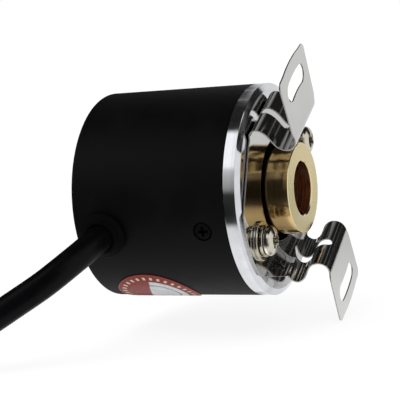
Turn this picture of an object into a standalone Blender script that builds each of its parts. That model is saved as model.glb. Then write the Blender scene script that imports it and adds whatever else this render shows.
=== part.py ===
"""Hollow-shaft rotary encoder, 38 mm can, with anti-rotation spring plate and side cable.

Frame: +X is the shaft axis, pointing out of the open end of the hollow shaft.
+Z is up.  The origin is on the shaft axis, in the plane of the flange's front face,
which is also inside the bore of the hollow shaft.
All constants are in millimetres and are turned into metres by MM.
"""
import math

import bmesh
import bpy
import numpy as np
from mathutils import Matrix, Vector

for old in list(bpy.data.objects):
    bpy.data.objects.remove(old, do_unlink=True)

MM = 0.001

# ---------------------------------------------------------------- driving sizes (mm)
BODY_R = 19.0            # can and flange rim, 38 mm across
RIM_T = 2.4              # flange rim thickness
CAN_X0, CAN_X1 = -2.45, -31.5   # can, front lip and rear face
CAN_WALL = 1.0
SPIGOT_R = 17.65
HUB_R, HUB_X = 8.1, 5.15  # protruding hub
BORE_R, BORE_END = 4.75, -15.0
JOURNAL_R = 7.35
TAIL_R = 5.9
SHAFT_END = -21.6
# bearings, 15 x 21 x 4 thin section
BRG_IN, BRG_OUT, BRG_W, BRG_PITCH, BALL_R = 7.5, 10.5, 4.0, 9.0, 0.68
FRONT_BRG, REAR_BRG = -3.75, -12.25     # front faces
# spring plate
STRIP_DEG = 117.7        # direction of the two arms in the Y-Z plane
SHEET_T = 0.25
PLATE_X = 0.56           # middle of the sheet, base
TAB_X = 8.60             # middle of the sheet, tabs
ARM_HALF = 6.35
SLIT_HALF = 0.80
SLOT_R, SLOT_W, SLOT_HALF_DEG = 21.7, 3.3, 8.2
TAB_END = 25.8
# fasteners
PLATE_SCREW_R, PLATE_SCREW_DEG = 13.5, (33.7, 213.7)
COVER_SCREW_X, COVER_SCREW_DEG = -6.9, (194.0, 314.0, 74.0)
SET_SCREW_X, SET_SCREW_DEG = 2.95, (272.0, 75.0)
# cable
CABLE_D = 4.8
CABLE_X, CABLE_DEG = -25.6, 194.0
CAN_HOLE_R = 3.75
REST_Z = -25.5           # surface under the lower tab and the cable
CABLE_LENGTH = 980.0     # sheathed, from the clamp inside the can to the stripped end
COIL_C = (-95.8, -16.7)
COIL_R_IN, COIL_R_OUT, COIL_H = 16.0, 34.0, 10.2
TIE_T = 0.9              # strap thickness under the coil
LEAD_D = 1.2
# sticker
STICKER_X, STICKER_DEG, STICKER_R = -21.0, 245.0, 7.6


# ---------------------------------------------------------------- helpers
def material(name, color, rough, metal):
    m = bpy.data.materials.new(name)
    m.use_nodes = True
    b = m.node_tree.nodes["Principled BSDF"]
    b.inputs["Base Color"].default_value = (*color, 1.0)
    b.inputs["Roughness"].default_value = rough
    b.inputs["Metallic"].default_value = metal
    return m


BLACK_PAINT = material("black_paint", (0.012, 0.012, 0.014), 0.42, 0.0)
ALUMINIUM = material("polished_aluminium", (0.80, 0.80, 0.82), 0.22, 1.0)
STAINLESS = material("spring_stainless", (0.72, 0.72, 0.71), 0.12, 1.0)
NICKEL = material("nickel_plate", (0.74, 0.71, 0.64), 0.20, 1.0)
BRASS = material("brass", (0.80, 0.62, 0.34), 0.26, 1.0)
BEARING = material("bearing_steel", (0.58, 0.59, 0.60), 0.22, 1.0)
BLACK_STEEL = material("black_steel", (0.03, 0.03, 0.032), 0.45, 0.9)
RUBBER = material("black_rubber", (0.015, 0.015, 0.016), 0.70, 0.0)
SHEATH = material("cable_sheath_pvc", (0.014, 0.014, 0.016), 0.38, 0.0)
BOARD = material("board_green", (0.02, 0.16, 0.07), 0.45, 0.0)
CHIP = material("chip_plastic", (0.02, 0.02, 0.02), 0.55, 0.0)
GLASS = material("disc_glass", (0.75, 0.80, 0.82), 0.05, 0.0)
PLASTIC = material("natural_plastic", (0.72, 0.70, 0.62), 0.5, 0.0)
PAPER = material("sticker_face", (0.80, 0.16, 0.12), 0.4, 0.0)

CENTRE = bpy.data.objects.new("shaft_axis", None)
bpy.context.collection.objects.link(CENTRE)


def finish_mesh(name, bm, mat, sharp=32.0, merge=1e-7):
    bmesh.ops.remove_doubles(bm, verts=bm.verts, dist=merge)
    bmesh.ops.recalc_face_normals(bm, faces=bm.faces)
    me = bpy.data.meshes.new(name)
    bm.to_mesh(me)
    bm.free()
    me.shade_smooth()
    me.set_sharp_from_angle(angle=math.radians(sharp))
    me.materials.append(mat)
    ob = bpy.data.objects.new(name, me)
    bpy.context.collection.objects.link(ob)
    ob.parent = CENTRE
    return ob


def turned(name, profile, mat, steps=48, start=0.0):
    """Closed section of (x, r) points in millimetres, spun about local X."""
    bm = bmesh.new()
    c, s = math.cos(start), math.sin(start)
    vs = [bm.verts.new((x * MM, r * c * MM, r * s * MM)) for x, r in profile]
    edges = [bm.edges.new((vs[i], vs[(i + 1) % len(vs)])) for i in range(len(vs))
             if not (profile[i][1] == 0 and profile[(i + 1) % len(vs)][1] == 0)]
    bmesh.ops.spin(bm, geom=vs + edges, cent=(0, 0, 0), axis=(1, 0, 0),
                   angle=2 * math.pi, steps=steps, use_merge=False)
    bmesh.ops.remove_doubles(bm, verts=bm.verts, dist=2e-6)
    bmesh.ops.dissolve_degenerate(bm, dist=1e-7, edges=bm.edges)
    return finish_mesh(name, bm, mat)


def ring(x0, x1, r0, r1):
    return [(x0, r0), (x0, r1), (x1, r1), (x1, r0)]


def rod(x0, x1, r, ch=0.0):
    if ch:
        return [(x0, 0), (x0, r - ch), (x0 + math.copysign(ch, x1 - x0), r),
                (x1 - math.copysign(ch, x1 - x0), r), (x1, r - ch), (x1, 0)]
    return [(x0, 0), (x0, r), (x1, r), (x1, 0)]


def slab(name, outline, depth0, depth1, mat, holes=()):
    """Outline of (y, z) points in millimetres, extruded along local X."""
    bm = bmesh.new()
    edges = []
    for loop in [outline, *holes]:
        vs = [bm.verts.new((depth0 * MM, y * MM, z * MM)) for y, z in loop]
        edges += [bm.edges.new((vs[i], vs[(i + 1) % len(vs)])) for i in range(len(vs))]
    bmesh.ops.triangle_fill(bm, edges=edges, use_beauty=True)
    ex = bmesh.ops.extrude_face_region(bm, geom=list(bm.faces))
    moved = [g for g in ex["geom"] if isinstance(g, bmesh.types.BMVert)]
    bmesh.ops.translate(bm, verts=moved, vec=((depth1 - depth0) * MM, 0, 0))
    return finish_mesh(name, bm, mat)


def block(name, lo, hi, mat, bevel=0.0):
    bm = bmesh.new()
    bmesh.ops.create_cube(bm, size=1.0)
    size = [(h - l) * MM for l, h in zip(lo, hi)]
    mid = [(h + l) * 0.5 * MM for l, h in zip(lo, hi)]
    bmesh.ops.scale(bm, vec=size, verts=bm.verts)
    bmesh.ops.translate(bm, vec=mid, verts=bm.verts)
    if bevel:
        bmesh.ops.bevel(bm, geom=list(bm.edges), offset=bevel * MM, segments=1,
                        affect="EDGES")
    return finish_mesh(name, bm, mat)


def circle(r, n, cy=0.0, cz=0.0, start=0.0):
    return [(cy + r * math.cos(start + 2 * math.pi * i / n),
             cz + r * math.sin(start + 2 * math.pi * i / n)) for i in range(n)]


def at_angle(ob, deg, x=0.0, r=0.0):
    """Local X stays the shaft axis; the piece is turned to deg and pushed out by r."""
    a = math.radians(deg)
    ob.rotation_euler = (a, 0, 0)
    ob.location = (x * MM, r * math.cos(a) * MM, r * math.sin(a) * MM)
    return ob


def radial(ob, deg, x):
    """Local X becomes the outward radial direction at deg, starting on the axis."""
    a = math.radians(deg)
    out = Vector((0, math.cos(a), math.sin(a)))
    side = Vector((1, 0, 0))
    m = Matrix((out, side, out.cross(side))).transposed()
    ob.rotation_euler = m.to_euler()
    ob.location = (x * MM, 0, 0)
    return ob


def cut(ob, cutter, name="cut"):
    cutter.hide_render = True
    cutter.display_type = "WIRE"
    mod = ob.modifiers.new(name, "BOOLEAN")
    mod.operation = "DIFFERENCE"
    mod.solver = "EXACT"
    mod.object = cutter


def join_solid(ob, other, name="join"):
    other.hide_render = True
    other.display_type = "WIRE"
    mod = ob.modifiers.new(name, "BOOLEAN")
    mod.operation = "UNION"
    mod.solver = "EXACT"
    mod.object = other


def spline(points, step):
    """Natural cubic spline through the points, read off at even steps of length."""
    p = np.array(points, float)
    t = np.concatenate([[0], np.cumsum(np.linalg.norm(np.diff(p, axis=0), axis=1))])
    n = len(p)
    h = np.diff(t)
    a = np.zeros((n, n))
    b = np.zeros((n, p.shape[1]))
    a[0, 0] = a[-1, -1] = 1
    for i in range(1, n - 1):
        a[i, i - 1], a[i, i], a[i, i + 1] = h[i - 1], 2 * (h[i - 1] + h[i]), h[i]
        b[i] = 6 * ((p[i + 1] - p[i]) / h[i] - (p[i] - p[i - 1]) / h[i - 1])
    m = np.linalg.solve(a, b)
    u = np.linspace(0, t[-1], 4000)
    k = np.clip(np.searchsorted(t, u, side="right") - 1, 0, n - 2)
    d0, d1, hk = (u - t[k])[:, None], (t[k + 1] - u)[:, None], h[k][:, None]
    q = (m[k] * d1 ** 3 + m[k + 1] * d0 ** 3) / (6 * hk) \
        + (p[k] / hk - m[k] * hk / 6) * d1 + (p[k + 1] / hk - m[k + 1] * hk / 6) * d0
    s = np.concatenate([[0], np.cumsum(np.linalg.norm(np.diff(q, axis=0), axis=1))])
    count = max(2, int(round(s[-1] / step)) + 1)
    return [tuple(np.interp(v, s, q[:, j]) for j in range(q.shape[1]))
            for v in np.linspace(0, s[-1], count)]


def tube(name, points, r, mat, res=2):
    cu = bpy.data.curves.new(name, "CURVE")
    cu.dimensions = "3D"
    sp = cu.splines.new("POLY")
    sp.points.add(len(points) - 1)
    for q, p in zip(sp.points, points):
        q.co = (p[0] * MM, p[1] * MM, p[2] * MM, 1)
    cu.bevel_depth = r * MM
    cu.bevel_resolution = res
    cu.use_fill_caps = True
    cu.materials.append(mat)
    ob = bpy.data.objects.new(name, cu)
    bpy.context.collection.objects.link(ob)
    ob.parent = CENTRE
    return ob


def cross_cutter(name, x_top, depth, span, width):
    """A plus-shaped plug for a cross recess, standing along local X."""
    w, s = width / 2, span / 2
    pts = [(s, -w), (s, w), (w, w), (w, s), (-w, s), (-w, w), (-s, w), (-s, -w),
           (-w, -w), (-w, -s), (w, -s), (w, -w)]
    return slab(name, pts, x_top - depth, x_top + 1.0, NICKEL)


# ---------------------------------------------------------------- can and flange
can = turned("cover_can", [
    (CAN_X0, BODY_R - CAN_WALL), (CAN_X0, BODY_R - 0.12), (CAN_X0 - 0.12, BODY_R),
    (CAN_X1 + 1.0, BODY_R), (CAN_X1 + 0.29, BODY_R - 0.29),
    (CAN_X1, BODY_R - 1.0), (CAN_X1, 0),
    (CAN_X1 + CAN_WALL, 0), (CAN_X1 + CAN_WALL, BODY_R - CAN_WALL)], BLACK_PAINT, 40)
for i, deg in enumerate(COVER_SCREW_DEG):
    hole = turned(f"can_hole_{i}", [(15.0, 0), (15.0, 1.3), (18.2, 1.3), (18.7, 1.8),
                                    (20.5, 1.8), (20.5, 0)], ALUMINIUM, 16)
    radial(hole, deg, COVER_SCREW_X)
    cut(can, hole)
exit_hole = turned("exit_hole", rod(12.0, 22.0, CAN_HOLE_R), ALUMINIUM, 20)
radial(exit_hole, CABLE_DEG, CABLE_X)
cut(can, exit_hole)

flange = turned("front_flange", [
    (0.3, 10.35), (0.3, 17.9), (-0.22, 18.86), (-0.3, BODY_R), (-RIM_T, BODY_R), (-RIM_T, SPIGOT_R),
    (-3.1, SPIGOT_R), (-3.1, 16.9), (-4.2, 16.9), (-4.2, SPIGOT_R),
    (-9.5, SPIGOT_R), (-9.5, 12.0), (-18.8, 12.0), (-18.8, 10.65), (-18.2, 10.65),
    (-18.2, 11.15), (-17.1, 11.15), (-17.1, 10.65), (-3.6, 10.65), (-3.6, 8.8),
    (-1.9, 8.8), (-1.9, 10.35)], ALUMINIUM, 40)
for i, deg in enumerate(PLATE_SCREW_DEG):
    hole = turned(f"tap_hole_{i}", rod(1.0, -5.4, 1.6), ALUMINIUM, 12)
    at_angle(hole, deg, 0.0, PLATE_SCREW_R)
    cut(flange, hole)
for i, deg in enumerate(COVER_SCREW_DEG):
    hole = turned(f"side_tap_{i}", rod(14.2, 19.0, 1.3), ALUMINIUM, 10)
    radial(hole, deg, COVER_SCREW_X)
    cut(flange, hole)

for i, deg in enumerate(COVER_SCREW_DEG):
    sc = turned(f"cover_screw_{i + 1}", [
        (14.8, 0), (14.8, 0.95), (18.1, 0.95), (18.65, 1.5), (18.9, 1.15), (18.95, 0)],
        NICKEL, 16)
    radial(sc, deg, COVER_SCREW_X)
    plus = cross_cutter(f"cover_plus_{i}", 18.95, 0.7, 1.9, 0.42)
    radial(plus, deg, COVER_SCREW_X)
    cut(sc, plus)

turned("cover_o_ring", [(-3.65 + 0.42 * math.cos(a), 17.38 + 0.42 * math.sin(a))
                        for a in [math.pi * k / 2.5 for k in range(5)]], RUBBER, 28)
turned("shaft_seal", [(-0.25, 9.35), (-0.25, 10.1), (-1.65, 10.1), (-1.65, 8.5),
                      (-0.9, 8.45)], RUBBER, 36)


# ---------------------------------------------------------------- spring plate
def arm_profile():
    """Middle line of one arm, (x, s), from the flat base out to the flat tab."""
    return spline([(PLATE_X, 13.0), (PLATE_X + 0.02, 14.2), (0.85, 15.70), (1.95, 16.40),
                   (3.10, 15.90), (4.10, 14.60), (4.95, 13.10), (6.30, 12.25),
                   (7.50, 12.35), (8.28, 13.05), (TAB_X - 0.02, 14.1), (TAB_X, 14.8)], 0.8)


ARM = np.array(arm_profile())
ARM_S = 13.0 + np.concatenate([[0], np.cumsum(np.linalg.norm(np.diff(ARM, axis=0), axis=1))])
FLAT_TAB = ARM_S[-1]                 # developed distance where the tab turns flat
TAB_SHIFT = FLAT_TAB - ARM[-1, 1]    # developed s minus real s on the tab


def bent(s, w, off):
    """Developed (s, w), offset off along the sheet's normal, to frame millimetres."""
    sign = 1.0 if s >= 0 else -1.0
    d = abs(s)
    if d <= 13.0:
        x, r, nx, nr = PLATE_X, d, 1.0, 0.0
    elif d >= FLAT_TAB:
        x, r, nx, nr = TAB_X, d - TAB_SHIFT, 1.0, 0.0
    else:
        k = min(max(int(np.searchsorted(ARM_S, d) - 1), 0), len(ARM_S) - 2)
        x = float(np.interp(d, ARM_S, ARM[:, 0]))
        r = float(np.interp(d, ARM_S, ARM[:, 1]))
        lo, hi = max(k - 0, 0), k + 1
        g0, g1 = max(lo - 1, 0), min(hi + 1, len(ARM) - 1)
        t = (d - ARM_S[lo]) / (ARM_S[hi] - ARM_S[lo])
        ta = ARM[hi] - ARM[g0]
        tb = ARM[g1] - ARM[lo]
        tt = ta / np.linalg.norm(ta) * (1 - t) + tb / np.linalg.norm(tb) * t
        tt = tt / np.linalg.norm(tt)
        nx, nr = float(tt[1]), float(-tt[0])
    x += nx * off
    r += nr * off
    a = math.radians(STRIP_DEG)
    rs = sign * r
    return (x, rs * math.cos(a) + w * math.sin(a), rs * math.sin(a) - w * math.cos(a))


def arc(cx, cy, r, a0, a1, n):
    return [(cx + r * math.cos(math.radians(a0 + (a1 - a0) * i / n)),
             cy + r * math.sin(math.radians(a0 + (a1 - a0) * i / n))) for i in range(n + 1)]


def half_outline():
    """Outline of the half with s > 0, from w = -17.3 round to w = +17.3, as (s, w)."""
    root = 14.5 + TAB_SHIFT
    end = TAB_END + TAB_SHIFT
    right = []
    right += arc(0.0, 0.0, 18.4, -90, -71.0, 3)[1:]          # base follows the flange rim
    right += [(13.9, -7.78), (14.5, -6.85), (15.2, ARM_HALF * -1)]
    right += [(root - 1.0, -ARM_HALF), (root - 0.2, -6.46)]
    right += [(root + 0.7, -6.85)]
    right += arc(root + 1.5, -6.5, 0.45, -110, -84, 1)
    right += arc(end - 1.75, -6.05, 1.3, -86, -20, 4)        # outer tab corner
    right += [(end - 0.42, -4.9), (end - 0.1, -2.5)]
    mirrored = [(s, -w) for s, w in reversed(right)]
    return right + [(end, 0.0)] + mirrored


def plate_loops():
    half = half_outline()
    outer = half + [(-s, -w) for s, w in half]
    hole = arc(0, 0, 9.3, 0, 360, 36)[:-1]
    loops = [outer, hole]
    for deg in PLATE_SCREW_DEG:
        a = math.radians(deg - STRIP_DEG)
        s0, w0 = PLATE_SCREW_R * math.cos(a), -PLATE_SCREW_R * math.sin(a)
        loops.append(arc(s0, w0, 1.65, 0, 360, 12)[:-1])
    for sign in (1, -1):
        a0, a1 = 13.9, FLAT_TAB - 3.3
        slit = arc(a0, 0, SLIT_HALF, 90, 270, 4) + arc(a1, 0, SLIT_HALF, -90, 90, 4)
        loops.append([(sign * s, sign * w) for s, w in slit])
        mid = []
        rin, rout = SLOT_R - SLOT_W / 2, SLOT_R + SLOT_W / 2
        for k in range(5):
            g = math.radians(-SLOT_HALF_DEG + 2 * SLOT_HALF_DEG * k / 4)
            mid.append((rout * math.cos(g), rout * math.sin(g)))
        ce = math.radians(SLOT_HALF_DEG)
        cs, cw = SLOT_R * math.cos(ce), SLOT_R * math.sin(ce)
        for k in range(1, 5):
            g = ce + math.pi * k / 5
            mid.append((cs + SLOT_W / 2 * math.cos(g), cw + SLOT_W / 2 * math.sin(g)))
        for k in range(5):
            g = math.radians(SLOT_HALF_DEG - 2 * SLOT_HALF_DEG * k / 4)
            mid.append((rin * math.cos(g), rin * math.sin(g)))
        for k in range(1, 5):
            g = -ce + math.pi + math.pi * k / 5
            mid.append((cs + SLOT_W / 2 * math.cos(g), -cw + SLOT_W / 2 * math.sin(g)))
        loops.append([(sign * (s + TAB_SHIFT), sign * w) for s, w in mid])
    return loops


def spring_plate():
    bm = bmesh.new()
    edges = []
    for loop in plate_loops():
        vs = [bm.verts.new((s, w, 0)) for s, w in loop]
        edges += [bm.edges.new((vs[i], vs[(i + 1) % len(vs)])) for i in range(len(vs))]
    bmesh.ops.triangle_fill(bm, edges=edges, use_beauty=True)
    for sign in (1, -1):
        for d in ARM_S:
            geom = list(bm.verts) + list(bm.edges) + list(bm.faces)
            bmesh.ops.bisect_plane(bm, geom=geom, plane_co=(sign * d, 0, 0),
                                   plane_no=(1, 0, 0), dist=1e-5)
    bmesh.ops.remove_doubles(bm, verts=bm.verts, dist=2e-3)
    bmesh.ops.dissolve_degenerate(bm, dist=1e-4, edges=bm.edges)
    for f in bm.faces:
        f.normal_update()
        if f.normal.z < 0:
            f.normal_flip()
    out = bmesh.new()
    top, low = {}, {}
    for v in bm.verts:
        for store, off in ((top, SHEET_T / 2), (low, -SHEET_T / 2)):
            x, y, z = bent(v.co.x, v.co.y, off)
            store[v] = out.verts.new((x * MM, y * MM, z * MM))
    for f in bm.faces:
        out.faces.new([top[v] for v in f.verts])
        out.faces.new([low[v] for v in reversed(f.verts)])
    for e in bm.edges:
        if len(e.link_faces) == 1:
            a, b = e.verts
            out.faces.new((top[a], top[b], low[b], low[a]))
    bm.free()
    return finish_mesh("spring_plate", out, STAINLESS, 30.0)


spring_plate()

for tag, deg in zip(("upper", "lower"), PLATE_SCREW_DEG):
    fw = turned(f"flat_washer_{tag}", ring(0.71, 1.21, 1.6, 3.45), NICKEL, 20)
    at_angle(fw, deg, 0.0, PLATE_SCREW_R)
    lw = turned(f"lock_washer_{tag}", ring(1.27, 1.95, 1.6, 2.75), NICKEL, 20)
    gap = block(f"lock_gap_{tag}", (0.9, -3.2, -0.12), (2.4, 0.0, 0.12), NICKEL)
    at_angle(lw, deg, 0.0, PLATE_SCREW_R)
    at_angle(gap, deg, 0.0, PLATE_SCREW_R)
    cut(lw, gap)
    sc = turned(f"plate_screw_{tag}", [
        (-4.9, 0), (-4.9, 1.1), (-4.6, 1.38), (2.01, 1.38), (2.01, 2.45), (2.25, 2.6),
        (2.75, 2.58), (3.3, 2.1), (3.58, 0)], NICKEL, 18)
    at_angle(sc, deg, 0.0, PLATE_SCREW_R)
    plus = cross_cutter(f"plate_plus_{tag}", 3.6, 1.1, 2.9, 0.62)
    at_angle(plus, deg, 0.0, PLATE_SCREW_R)
    plus.rotation_euler.x += math.radians(20)
    cut(sc, plus)

# ---------------------------------------------------------------- rotor
shaft = turned("hollow_shaft", [
    (HUB_X - 0.25, BORE_R), (HUB_X, BORE_R + 0.22), (HUB_X, HUB_R - 0.2),
    (HUB_X - 0.2, HUB_R), (-1.55, HUB_R),
    (-1.55, JOURNAL_R), (-17.3, JOURNAL_R), (-17.3, TAIL_R), (SHAFT_END + 0.3, TAIL_R),
    (SHAFT_END, TAIL_R - 0.3), (SHAFT_END, 0), (BORE_END - 1.4, 0), (BORE_END, BORE_R)],
    BRASS, 36)
for i, deg in enumerate(SET_SCREW_DEG):
    hole = turned(f"set_tap_{i}", rod(3.5, 9.5, 1.6), BRASS, 16)
    radial(hole, deg, SET_SCREW_X)
    cut(shaft, hole)
for tag, deg in zip("ab", SET_SCREW_DEG):
    st = turned(f"set_screw_{tag}", rod(4.95, 7.85, 1.4, 0.25), BLACK_STEEL, 18)
    radial(st, deg, SET_SCREW_X)
    hexa = slab(f"hex_{tag}", circle(0.87, 6), 6.5, 8.5, BLACK_STEEL)
    radial(hexa, deg, SET_SCREW_X)
    cut(st, hexa)

for tag, x0 in (("front", FRONT_BRG), ("rear", REAR_BRG)):
    x1, xc = x0 - BRG_W, x0 - BRG_W / 2
    turned(f"{tag}_bearing_inner_ring", [
        (x0, BRG_IN), (x0, 8.5), (xc + 0.75, 8.5), (xc, 8.15),
        (xc - 0.75, 8.5), (x1, 8.5), (x1, BRG_IN)], BEARING, 24)
    turned(f"{tag}_bearing_outer_ring", [
        (x0, 9.5), (x0, BRG_OUT), (x1, BRG_OUT), (x1, 9.5), (xc - 0.75, 9.5),
        (xc, 9.85), (xc + 0.75, 9.5)], BEARING, 24)
    cage = turned(f"{tag}_ball_cage", ring(xc - 0.3, xc + 0.3, 8.82, 9.18), BEARING, 24)
    for k in range(9):
        a = 2 * math.pi * (k + 0.5) / 9
        bm = bmesh.new()
        bmesh.ops.create_icosphere(bm, subdivisions=1, radius=BALL_R * MM)
        bmesh.ops.translate(bm, verts=bm.verts,
                            vec=(xc * MM, BRG_PITCH * math.cos(a) * MM,
                                 BRG_PITCH * math.sin(a) * MM))
        ball = finish_mesh(f"{tag}_ball_{k}", bm, BEARING, 80)
        join_solid(cage, ball)

turned("bearing_spacer", ring(-7.9, -12.1, 9.75, 10.5), ALUMINIUM, 27)


def wave_washer():
    bm = bmesh.new()
    n = 24
    rows = []
    for i in range(n):
        a = 2 * math.pi * i / n
        wave = 0.12 * math.cos(3 * a)
        rows.append([bm.verts.new((x * MM, r * math.cos(a) * MM, r * math.sin(a) * MM))
                     for x, r in ((-16.55 + wave, 9.0), (-16.55 + wave, 10.4),
                                  (-16.75 + wave, 10.4), (-16.75 + wave, 9.0))])
    for i in range(n):
        p, q = rows[i], rows[(i + 1) % n]
        for j in range(4):
            bm.faces.new((p[j], p[(j + 1) % 4], q[(j + 1) % 4], q[j]))
    return finish_mesh("wave_washer", bm, BEARING)


wave_washer()
clip = turned("retaining_ring", ring(-17.25, -18.05, 9.6, 11.0), BLACK_STEEL, 27)
gap = block("clip_gap", (-19.0, -1.3, 8.5), (-16.9, 1.3, 12.0), BLACK_STEEL)
gap.rotation_euler = (math.radians(40), 0, 0)
cut(clip, gap)

turned("disc_hub", ring(-17.6, -19.4, 6.2, 8.4), ALUMINIUM, 27)
turned("code_disc", ring(-19.55, -20.15, 6.2, 14.3), GLASS, 32)
turned("disc_clamp_ring", ring(-20.3, -21.3, 6.2, 8.0), ALUMINIUM, 27)

# ---------------------------------------------------------------- electronics
LED_DEG = 320.0
at_angle(block("led_holder", (-17.6, 12.35, -2.6), (-9.8, 16.8, 2.6), CHIP, 0.3), LED_DEG)
led = turned("led_emitter", [(-17.75, 0), (-17.75, 1.15), (-18.5, 1.15), (-18.9, 0.85),
                             (-19.1, 0.5), (-19.15, 0)], GLASS, 16)
at_angle(led, LED_DEG, 0.0, 13.5)
at_angle(block("reticle", (-20.95, 11.2, -2.8), (-20.45, 14.8, 2.8), GLASS), LED_DEG)
at_angle(block("photo_sensor", (-22.4, 11.4, -2.4), (-21.1, 14.6, 2.4), CHIP), LED_DEG)

BOARD_X0, BOARD_X1 = -22.6, -23.8
STUD_R, STUD_DEG = 15.9, (16.0, 136.0, 256.0)


def board_outline():
    pts = []
    for i in range(60):
        a = math.radians(6 * i)
        d = (a - math.radians(CABLE_DEG) + math.pi) % (2 * math.pi) - math.pi
        r = 17.3
        if math.cos(d) > 0:
            r = min(r, 11.7 / math.cos(d))
        pts.append((r * math.cos(a), r * math.sin(a)))
    return pts


holes = [circle(0.8, 10, STUD_R * math.cos(math.radians(d)), STUD_R * math.sin(math.radians(d)))
         for d in STUD_DEG]
slab("main_board", board_outline(), BOARD_X0, BOARD_X1, BOARD, holes)
for i, deg in enumerate(STUD_DEG):
    post = turned(f"board_stud_{i + 1}", [(-9.75, 0), (-9.75, 1.0), (-22.45, 1.0),
                                          (-22.45, 0.6), (-25.3, 0.6), (-25.3, 0)], BRASS, 12)
    at_angle(post, deg, 0.0, STUD_R)
    nut = slab(f"board_nut_{i + 1}", circle(1.35, 6), -23.95, -25.0, NICKEL,
               [circle(0.75, 12)])
    at_angle(nut, deg, 0.0, STUD_R)
block("signal_chip", (-25.35, -3.4, -3.4), (-23.95, 3.4, 3.4), CHIP, 0.2)
capacitor = turned("smoothing_capacitor", rod(-23.95, -28.4, 2.0, 0.3), ALUMINIUM, 20)
capacitor.location = (0, 6.0 * MM, 8.6 * MM)
at_angle(block("lead_connector", (-27.0, 5.6, -4.2), (-23.95, 9.2, 4.2), PLASTIC, 0.2),
         CABLE_DEG)

# ---------------------------------------------------------------- cable entry
grommet = turned("cable_grommet", [
    (14.4, 2.7), (14.4, 4.0), (17.0, 4.5), (17.1, 3.4), (19.3, 3.4), (19.3, 4.2),
    (20.1, 4.2), (20.9, 3.4), (20.9, 2.7)], RUBBER, 20)
radial(grommet, CABLE_DEG, CABLE_X)
crimp = turned("cable_clamp", ring(12.5, 14.0, 2.75, 3.5), BLACK_STEEL, 16)
radial(crimp, CABLE_DEG, CABLE_X)

radial(turned("inner_lead_bundle", rod(9.5, 11.9, 1.5), PLASTIC, 12), CABLE_DEG, CABLE_X)

EXIT_R = 12.2


def out_at(r):
    a = math.radians(CABLE_DEG)
    return (CABLE_X, r * math.cos(a), r * math.sin(a))


# free run of the cable: straight out of the grommet, a bend back along the can,
# down to the surface under the part and on to the coil
CORNER_R = 27.6          # where the two straight stretches of the exit bend would meet
BEND_R = 14.0
OUT_DIR = Vector((0, math.cos(math.radians(CABLE_DEG)), math.sin(math.radians(CABLE_DEG))))
AWAY_DIR = Vector((-0.726, -0.4015, -0.535)).normalized()


def exit_bend(n):
    corner = Vector(out_at(CORNER_R))
    half = OUT_DIR.angle(AWAY_DIR) / 2
    run = BEND_R * math.tan(half)
    start = corner - OUT_DIR * run
    inward = (AWAY_DIR - OUT_DIR * OUT_DIR.dot(AWAY_DIR)).normalized()
    return [tuple(start + OUT_DIR * BEND_R * math.sin(2 * half * i / n)
                  + inward * BEND_R * (1 - math.cos(2 * half * i / n)))
            for i in range(n + 1)]


ROUTE = [out_at(EXIT_R), out_at(15.8)] + exit_bend(4) + [
    (-35.6, -32.5, -13.7), (-39.7, -34.8, -16.3), (-43.2, -36.6, -18.4),
    (-47.2, -38.3, -20.5), (-52.0, -40.0, -22.15), (-57.5, -41.6, -22.95),
    (-63.5, -43.2, -23.1), (-69.4, -44.8, -23.1)]
tube("cable", spline(ROUTE, 3.0), CABLE_D / 2, SHEATH, 3)

coil = turned("cable_coil", [(0, COIL_R_IN + 1.0), (0, COIL_R_OUT - 1.0), (1.0, COIL_R_OUT),
                             (COIL_H - 1.0, COIL_R_OUT), (COIL_H, COIL_R_OUT - 1.0),
                             (COIL_H, COIL_R_IN + 1.0), (COIL_H - 1.0, COIL_R_IN),
                             (1.0, COIL_R_IN)], SHEATH, 32)
coil.rotation_euler = (0, math.radians(-90), 0)
coil.location = (COIL_C[0] * MM, COIL_C[1] * MM, (REST_Z + TIE_T) * MM)


def tie_loop(name, deg):
    """A flat strap round the coil's bundle; the coil rests on its two ties."""
    a, b, g = COIL_R_IN - 0.45, COIL_R_OUT + 0.35, TIE_T
    lo, hi = REST_Z + TIE_T - 0.3, REST_Z + TIE_T + COIL_H + 0.3
    outer = [(a - g + 0.3, lo - g + 0.3), (b + g - 0.3, lo - g + 0.3), (b + g, lo + 0.2), (b + g, hi),
             (b + g - 0.4, hi + g - 0.3), (a - g + 0.4, hi + g - 0.3), (a - g, hi), (a - g, lo + 0.2)]
    strap = slab(name, outer, -1.8, 1.8, CHIP, [[(a, lo), (b, lo), (b, hi), (a, hi)]])
    t = math.radians(deg)
    strap.rotation_euler = (0, 0, t - math.pi / 2)
    strap.location = (COIL_C[0] * MM, COIL_C[1] * MM, 0)
    return strap


tie_loop("coil_tie_a", 120.0)
tie_loop("coil_tie_b", 300.0)

# bare conductors at the cable's free end, lying on top of the coil
for i, (tag, col) in enumerate((("red", (0.55, 0.03, 0.03)), ("black", (0.02, 0.02, 0.02)),
                                ("green", (0.02, 0.30, 0.08)), ("white", (0.8, 0.8, 0.78)))):
    z = REST_Z + TIE_T + COIL_H + 0.3 + LEAD_D / 2
    pts = []
    for k in range(9):
        t = math.radians(52 - 6.6 * k)
        r = 25.2 + 1.9 * i + 0.06 * i * k + 0.3 * math.sin(k * 0.8)
        pts.append((COIL_C[0] + r * math.cos(t), COIL_C[1] + r * math.sin(t), z))
    tube(f"lead_{tag}", spline(pts, 2.6), LEAD_D / 2, material(f"lead_{tag}", col, 0.4, 0.0), 2)

# ---------------------------------------------------------------- sticker on the can


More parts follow.
